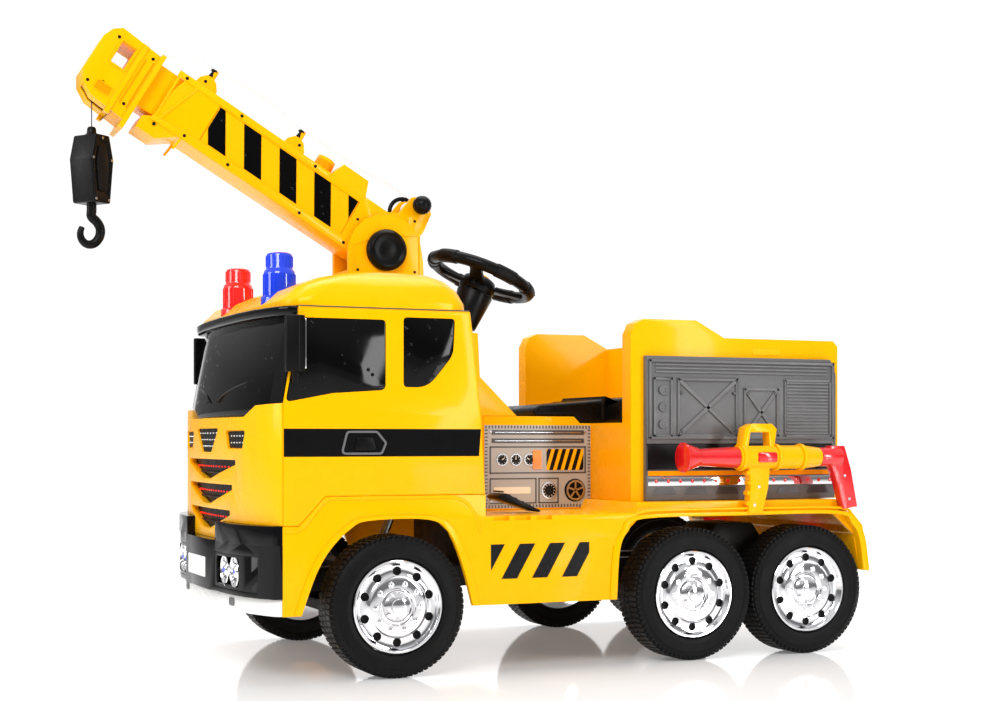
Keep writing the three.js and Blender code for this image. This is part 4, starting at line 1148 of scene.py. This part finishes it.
def dial(x, z, face, rim, proud, sides, ticks, reach, width):
    """A chrome rim of two radii and a ring of ticks of two radii, on the toolbox face."""
    inner, outer = rim
    edge = hoop([(inner, face - proud), (outer, face - proud), (outer, face - 0.6), (inner, face - 0.6)],
                (x, 0, z), sides=sides)
    marks = []
    for a in steps_round(ticks):
        ends = [(x + r * math.cos(a), z + r * math.sin(a)) for r in reach]
        marks.append(bar(*ends[0], *ends[1], width, face - 1.4 - width / 2, face - 1.3))
    return edge, marks


def make_toolbox():
    """The printed toolbox on the seat box, as shallow relief: drawers, gauges, a lamp and dials."""
    x0, x1, z0, z1 = 240, 451, 260, 409
    y = -SEAT_BOX_SIDE
    back = y - 0.4
    steel = [slab([(x0, z0), (x1, z0), (x1, z1), (x0, z1)], y - 0.6, y + 0.4)]
    dark, cream, amber, yellow, black, chromed = [], [], [], [], [], []
    for k in range(34):
        x = x0 + 3 + (x1 - x0 - 6) * k / 33
        dark += [block(x - 1.2, x + 1.2, y - 1.0, back, z - 2.6, z + 2.6) for z in (z0 + 3.4, z1 - 3.4)]
    for k in range(22):
        z = z0 + 9 + (z1 - z0 - 18) * k / 21
        dark += [block(x - 2.6, x + 2.6, y - 1.0, back, z - 1.2, z + 1.2) for x in (x0 + 3.4, x1 - 3.4)]
    for z in (392, 377):
        dark.append(block(x0 + 14, x1 - 14, y - 1.8, back, z, z + 8))
        chromed.append(block(x0 + 20, x1 - 20, y - 2.4, y - 1.6, z + 3.2, z + 4.8))
    dark.append(frame_bars(x0 + 10, x1 - 10, 322, 371, 2.4, y - 1.5, back))
    for k in range(3):
        cx = x0 + 34 + 27 * k
        rim, marks = dial(cx, 347, y, (9.0, 10.8), 2.2, 32, 8, (6.4, 8), 0.8)
        hand = (cx + 5.5 * math.cos(k + 0.6), 347 + 5.5 * math.sin(k + 0.6))
        chromed.append(rim)
        cream += marks + [bar(cx, 347, *hand, 1.4, y - 1.9, y - 1.2)]
        black.append(rod(10.4, y - 1.4, back, (cx, 0, 347), edge=0.3))
    amber.append(slab(rounded([(334, 330), (351, 330), (351, 364), (334, 364)], 3), y - 3.0, back))
    yellow.append(block(362, 436, y - 1.0, back, 328, 366))
    black.append(hazard_bars(362, 436, 328, 366, lean=12, first=352, period=15, width=7.5, y0=y - 1.5,
                             y1=y - 0.8))
    for x, width in ((x0 + 10, 92), (x0 + 106, 40)):
        dark.append(frame_bars(x, x + width, 268, 314, 2.2, y - 1.5, back))
    cream.append(slab(rounded([(258, 286), (330, 286), (330, 298), (258, 298)], 3), y - 1.3, back))
    chromed.append(rod(5, y - 3.0, back, (294, 0, 276), sides=20, edge=0.8))
    rim, marks = dial(367, 291, y, (12.6, 15.4), 2.4, 36, 12, (9, 11.6), 1.0)
    chromed.append(rim)
    cream += marks
    black.append(rod(15, y - 1.4, back, (367, 0, 291), sides=36, edge=0.3))
    lamp_rim = [(15, y - 4.2), (18.5, y - 4.2), (18.5, y - 1.8), (15, y - 1.8)]
    chromed.append(hoop(lamp_rim, (419, 0, 291), sides=36))
    for a in steps_round(5):
        rim_end = (419 + 16 * math.cos(a + 0.3), 291 + 16 * math.sin(a + 0.3))
        chromed.append(bar(419, 291, *rim_end, 3.4, y - 3.4, y - 1.8))
    black.append(rod(21, y - 1.4, back, (419, 0, 291), sides=36, edge=0.3))
    corners = [(x, z) for x in (x0 + 12, x1 - 12) for z in (z0 + 12, z1 - 12)]
    chromed.append(screws(corners, y - 2.2, back, 2.2, 12, 0.4))
    for name, parts, material in (
        ("steel", steel, PRINT_GREY), ("dark", dark, DARK_GREY), ("cream", cream, CREAM), ("amber", amber, AMBER),
        ("yellow", yellow, YELLOW), ("black", black, BLACK), ("chrome", chromed, STEEL),
    ):
        both_sides(f"toolbox_{name}", together(*parts), material)


def make_blaster():
    """The toy water blaster: yellow body with a badge and finger grip, red barrel and red pump handle."""
    body = "blaster"
    y, z = BLASTER_Y, BLASTER_Z
    refined("blaster_body", YELLOW, edge=2.6)
    refined("blaster_barrel", RED, edge=1.0, segments=2, smooth=45)
    refined("blaster_pump", RED, edge=2.6, smooth=45)
    rings = []
    for x in (634, 706, 758):
        profile = [(21, x), (23.4, x), (24, x + 2), (24, x + 5), (23.4, x + 7), (21, x + 7)]
        rings.append(hoop(profile, (0, y, z), "x", 48))
    add("blaster_bands", together(*rings), YELLOW, body, smooth=40)
    badge = slab(rounded([(662, 343), (700, 343), (700, 361), (662, 361)], 5), y - 23.6, y - 15)
    add("blaster_badge", badge, RED, body, edge=0.8, segments=2)
    for name, places, rider in (
        ("blaster_screws", [(671, 300), (662, 268), (641, 374), (697, 404)], body),
        ("pump_screws", [(836, 356), (852, 318), (862, 276)], "blaster_pump"),
    ):
        add(name, screws(places, y - 9.8, y - 8.4, sides=14), STEEL, rider)
    places = [(652, 325), (655, 307), (653, 289), (652, 271)]
    add("blaster_finger_waves", screws(places, y - 8.4, y + 8.4, 5, 20, 2), YELLOW, body)
    muzzle = hoop([(20, 521.4), (26, 521.4), (26.3, 524), (24, 527), (18, 527)], (0, y, z), "x", 48)
    add("blaster_muzzle", muzzle, RED, body)
    add("blaster_bore", rod(12, 521.7, 522.6, (0, y, z), "x"), BLACK, body)
    rests = [block(x, x + 8, -BOX_SIDE - 40, -PANEL_SIDE + 1, 340, 350) for x in (642, 748)]
    add("blaster_rests", together(*rests), YELLOW, edge=1.0, segments=2)


# ---------------------------------------------------------------- steering, beacons and small parts


def make_steering():
    """A wheel with a thicker grip on each side of its three spokes, and a plain horn button."""
    body = "steering"
    refined("column_cover", BLACK, edge=2, segments=2, smooth=45)
    profile = [(30, -31), (33, -26), (33, -14), (29, -6), (23, -2.5), (8, -1.5), (1, -1.4)]
    hub = turned(profile, axis="z", sides=40)
    sections = ((18, 17, 4, -16), (44, 13, 4, -12), (72, 11, 4, -6), (98, 14, 5, -1))
    arm = loft([[(r, -w, z - h), (r, w, z - h), (r, w, z + h), (r, -w, z + h)] for r, w, h, z in sections])
    spokes = []
    for angle in steps_round(3):
        spokes.append(rolled(arm, angle, "Z"))
        for offset in (-0.42, 0.42):
            turns = [angle + math.pi / 3 + offset + j * 0.055 for j in range(-4, 5)]
            spokes.append(sweep([(STEER_R * math.cos(a), STEER_R * math.sin(a), 0) for a in turns], 12.6, 16))
    add("steering_rim", ring(STEER_R, 11.0, axis="z", sides=80, tube=20), BLACK, body, on_column)
    add("steering_spokes", together(*spokes), SATIN, body, on_column, edge=1.2, smooth=50)
    add("steering_hub", hub, BLACK, body, on_column, replaces=("steering_wheel",))
    cap = turned([(17, -2.6), (17, 0.2), (15, 1.8), (1, 2.2)], (0, 0, 0), "z", 32)
    add("horn_button", cap, YELLOW, body, on_column)


def make_beacon(node, glass):
    """A stepped beacon with fluted walls, on a wider foot."""
    at = middle(node)
    x, y = (at.x - FRONT_AXLE.x) / MM, at.y / MM
    profile = [(26.3, 600), (26.3, 655), (25.4, 661), (22.6, 664.2), (21.8, 666.5), (21.8, 686), (20.2, 690),
               (16.5, 691.9), (1, 692)]
    add(f"{node}_glass", turned(profile, (x, y, 0), "z", 48), glass, replaces=(node,))
    flutes = []
    for a in steps_round(24):
        for reach, low, high, radius in ((26.2, 618, 656, 1.1), (21.7, 668, 686, 0.9)):
            foot = (x + reach * math.cos(a), y + reach * math.sin(a))
            flutes.append(sweep([(*foot, low), (*foot, high)], radius, 6))
    add(f"{node}_flutes", together(*flutes), glass)
    foot = hoop([(25, 604), (30.5, 604), (30.5, 617), (28.5, 620), (25, 620)], (x, y, 0), "z", 48)
    add(f"{node}_foot", foot, glass)


def make_underside():
    for node in ("chassis_frame", "drive_unit"):
        refined(node, SATIN, edge=2, segments=2)
    for node in ("mid_axle", "rear_axle", "tie_rod", "steering_shaft"):
        refined(node, STEEL, edge=0.4, segments=1, smooth=45)
    for node in ("knuckle_left", "knuckle_right"):
        refined(node, BLACK, edge=1, segments=2)
    frame["nodes"]["battery"].data.materials.clear()
    frame["nodes"]["battery"].data.materials.append(DARK_GREY)


make_panels()
make_rear_box()
make_seat()
make_console()
make_toolbox()
make_blaster()
make_steering()
make_beacon("beacon_left", BLUE_LENS)
make_beacon("beacon_right", RED_LENS)
make_underside()

# ---------------------------------------------------------------- stage, light and finish


def make_stage():
    mesh = bpy.data.meshes.new("floor")
    half = 30.0
    corners = [(-half, -half, 0), (half, -half, 0), (half, half, 0), (-half, half, 0)]
    mesh.from_pydata(corners, [], [(0, 1, 2, 3)])
    floor = bpy.data.objects.new("floor", mesh)
    bpy.context.scene.collection.objects.link(floor)
    material, tree, shader = new_material("floor_white")
    tree.links.new(ramp(tree, noise(tree, 2.0), (0.985, 0.985, 0.985), (1.0, 1.0, 1.0)),
                   shader.inputs["Base Color"])
    shader.inputs["Roughness"].default_value = 0.07
    shader.inputs["Specular IOR Level"].default_value = 0.6
    shader.inputs["Emission Color"].default_value = (1, 1, 1, 1)
    shader.inputs["Emission Strength"].default_value = 0.14
    floor.data.materials.append(material)


def light(name, place, at, power, size, colour=(1, 1, 1)):
    data = bpy.data.lights.new(name, "AREA")
    data.energy = power
    data.shape = "RECTANGLE"
    data.size, data.size_y = size
    data.color = colour
    lamp = bpy.data.objects.new(name, data)
    lamp.location = place
    lamp.rotation_euler = (Vector(at) - Vector(place)).to_track_quat("-Z", "Y").to_euler()
    bpy.context.scene.collection.objects.link(lamp)


def joined(tree, operation, first, second):
    node = tree.nodes.new("ShaderNodeMath")
    node.operation = operation
    tree.links.new(first, node.inputs[0])
    tree.links.new(second, node.inputs[1])
    return node.outputs["Value"]


def make_light():
    world = bpy.data.worlds.new("studio")
    bpy.context.scene.world = world
    world.use_nodes = True
    tree = world.node_tree
    background = tree.nodes["Background"]
    place = tree.nodes.new("ShaderNodeTexCoord")
    parts = tree.nodes.new("ShaderNodeSeparateXYZ")
    tree.links.new(place.outputs["Generated"], parts.inputs["Vector"])
    ahead = ramp(tree, parts.outputs["Y"], 0.0, 1.0, 0.05, 0.25)
    aside = ramp(tree, parts.outputs["X"], 0.0, 1.0, 0.0, 0.07)
    above = ramp(tree, parts.outputs["Z"], 0.18, 0.7, 0.14, 0.5)
    backdrop = joined(tree, "MULTIPLY", ahead, aside)
    tree.links.new(joined(tree, "MAXIMUM", backdrop, above), background.inputs["Color"])
    background.inputs["Strength"].default_value = 1.05
    light("key", (-2.4, -3.4, 3.2), (0, 0, 0.4), 120, (2.4, 1.6))
    light("front", (-3.6, 0.2, 1.6), (0, 0, 0.4), 45, (1.6, 1.6))
    light("top", (0.3, 0.4, 3.6), (0, 0, 0.3), 60, (3.0, 2.0))
    light("fill", (2.2, -3.6, 1.0), (0.2, 0, 0.4), 40, (0.5, 1.6))


make_stage()
make_light()
bpy.context.scene.view_settings.view_transform = "Standard"
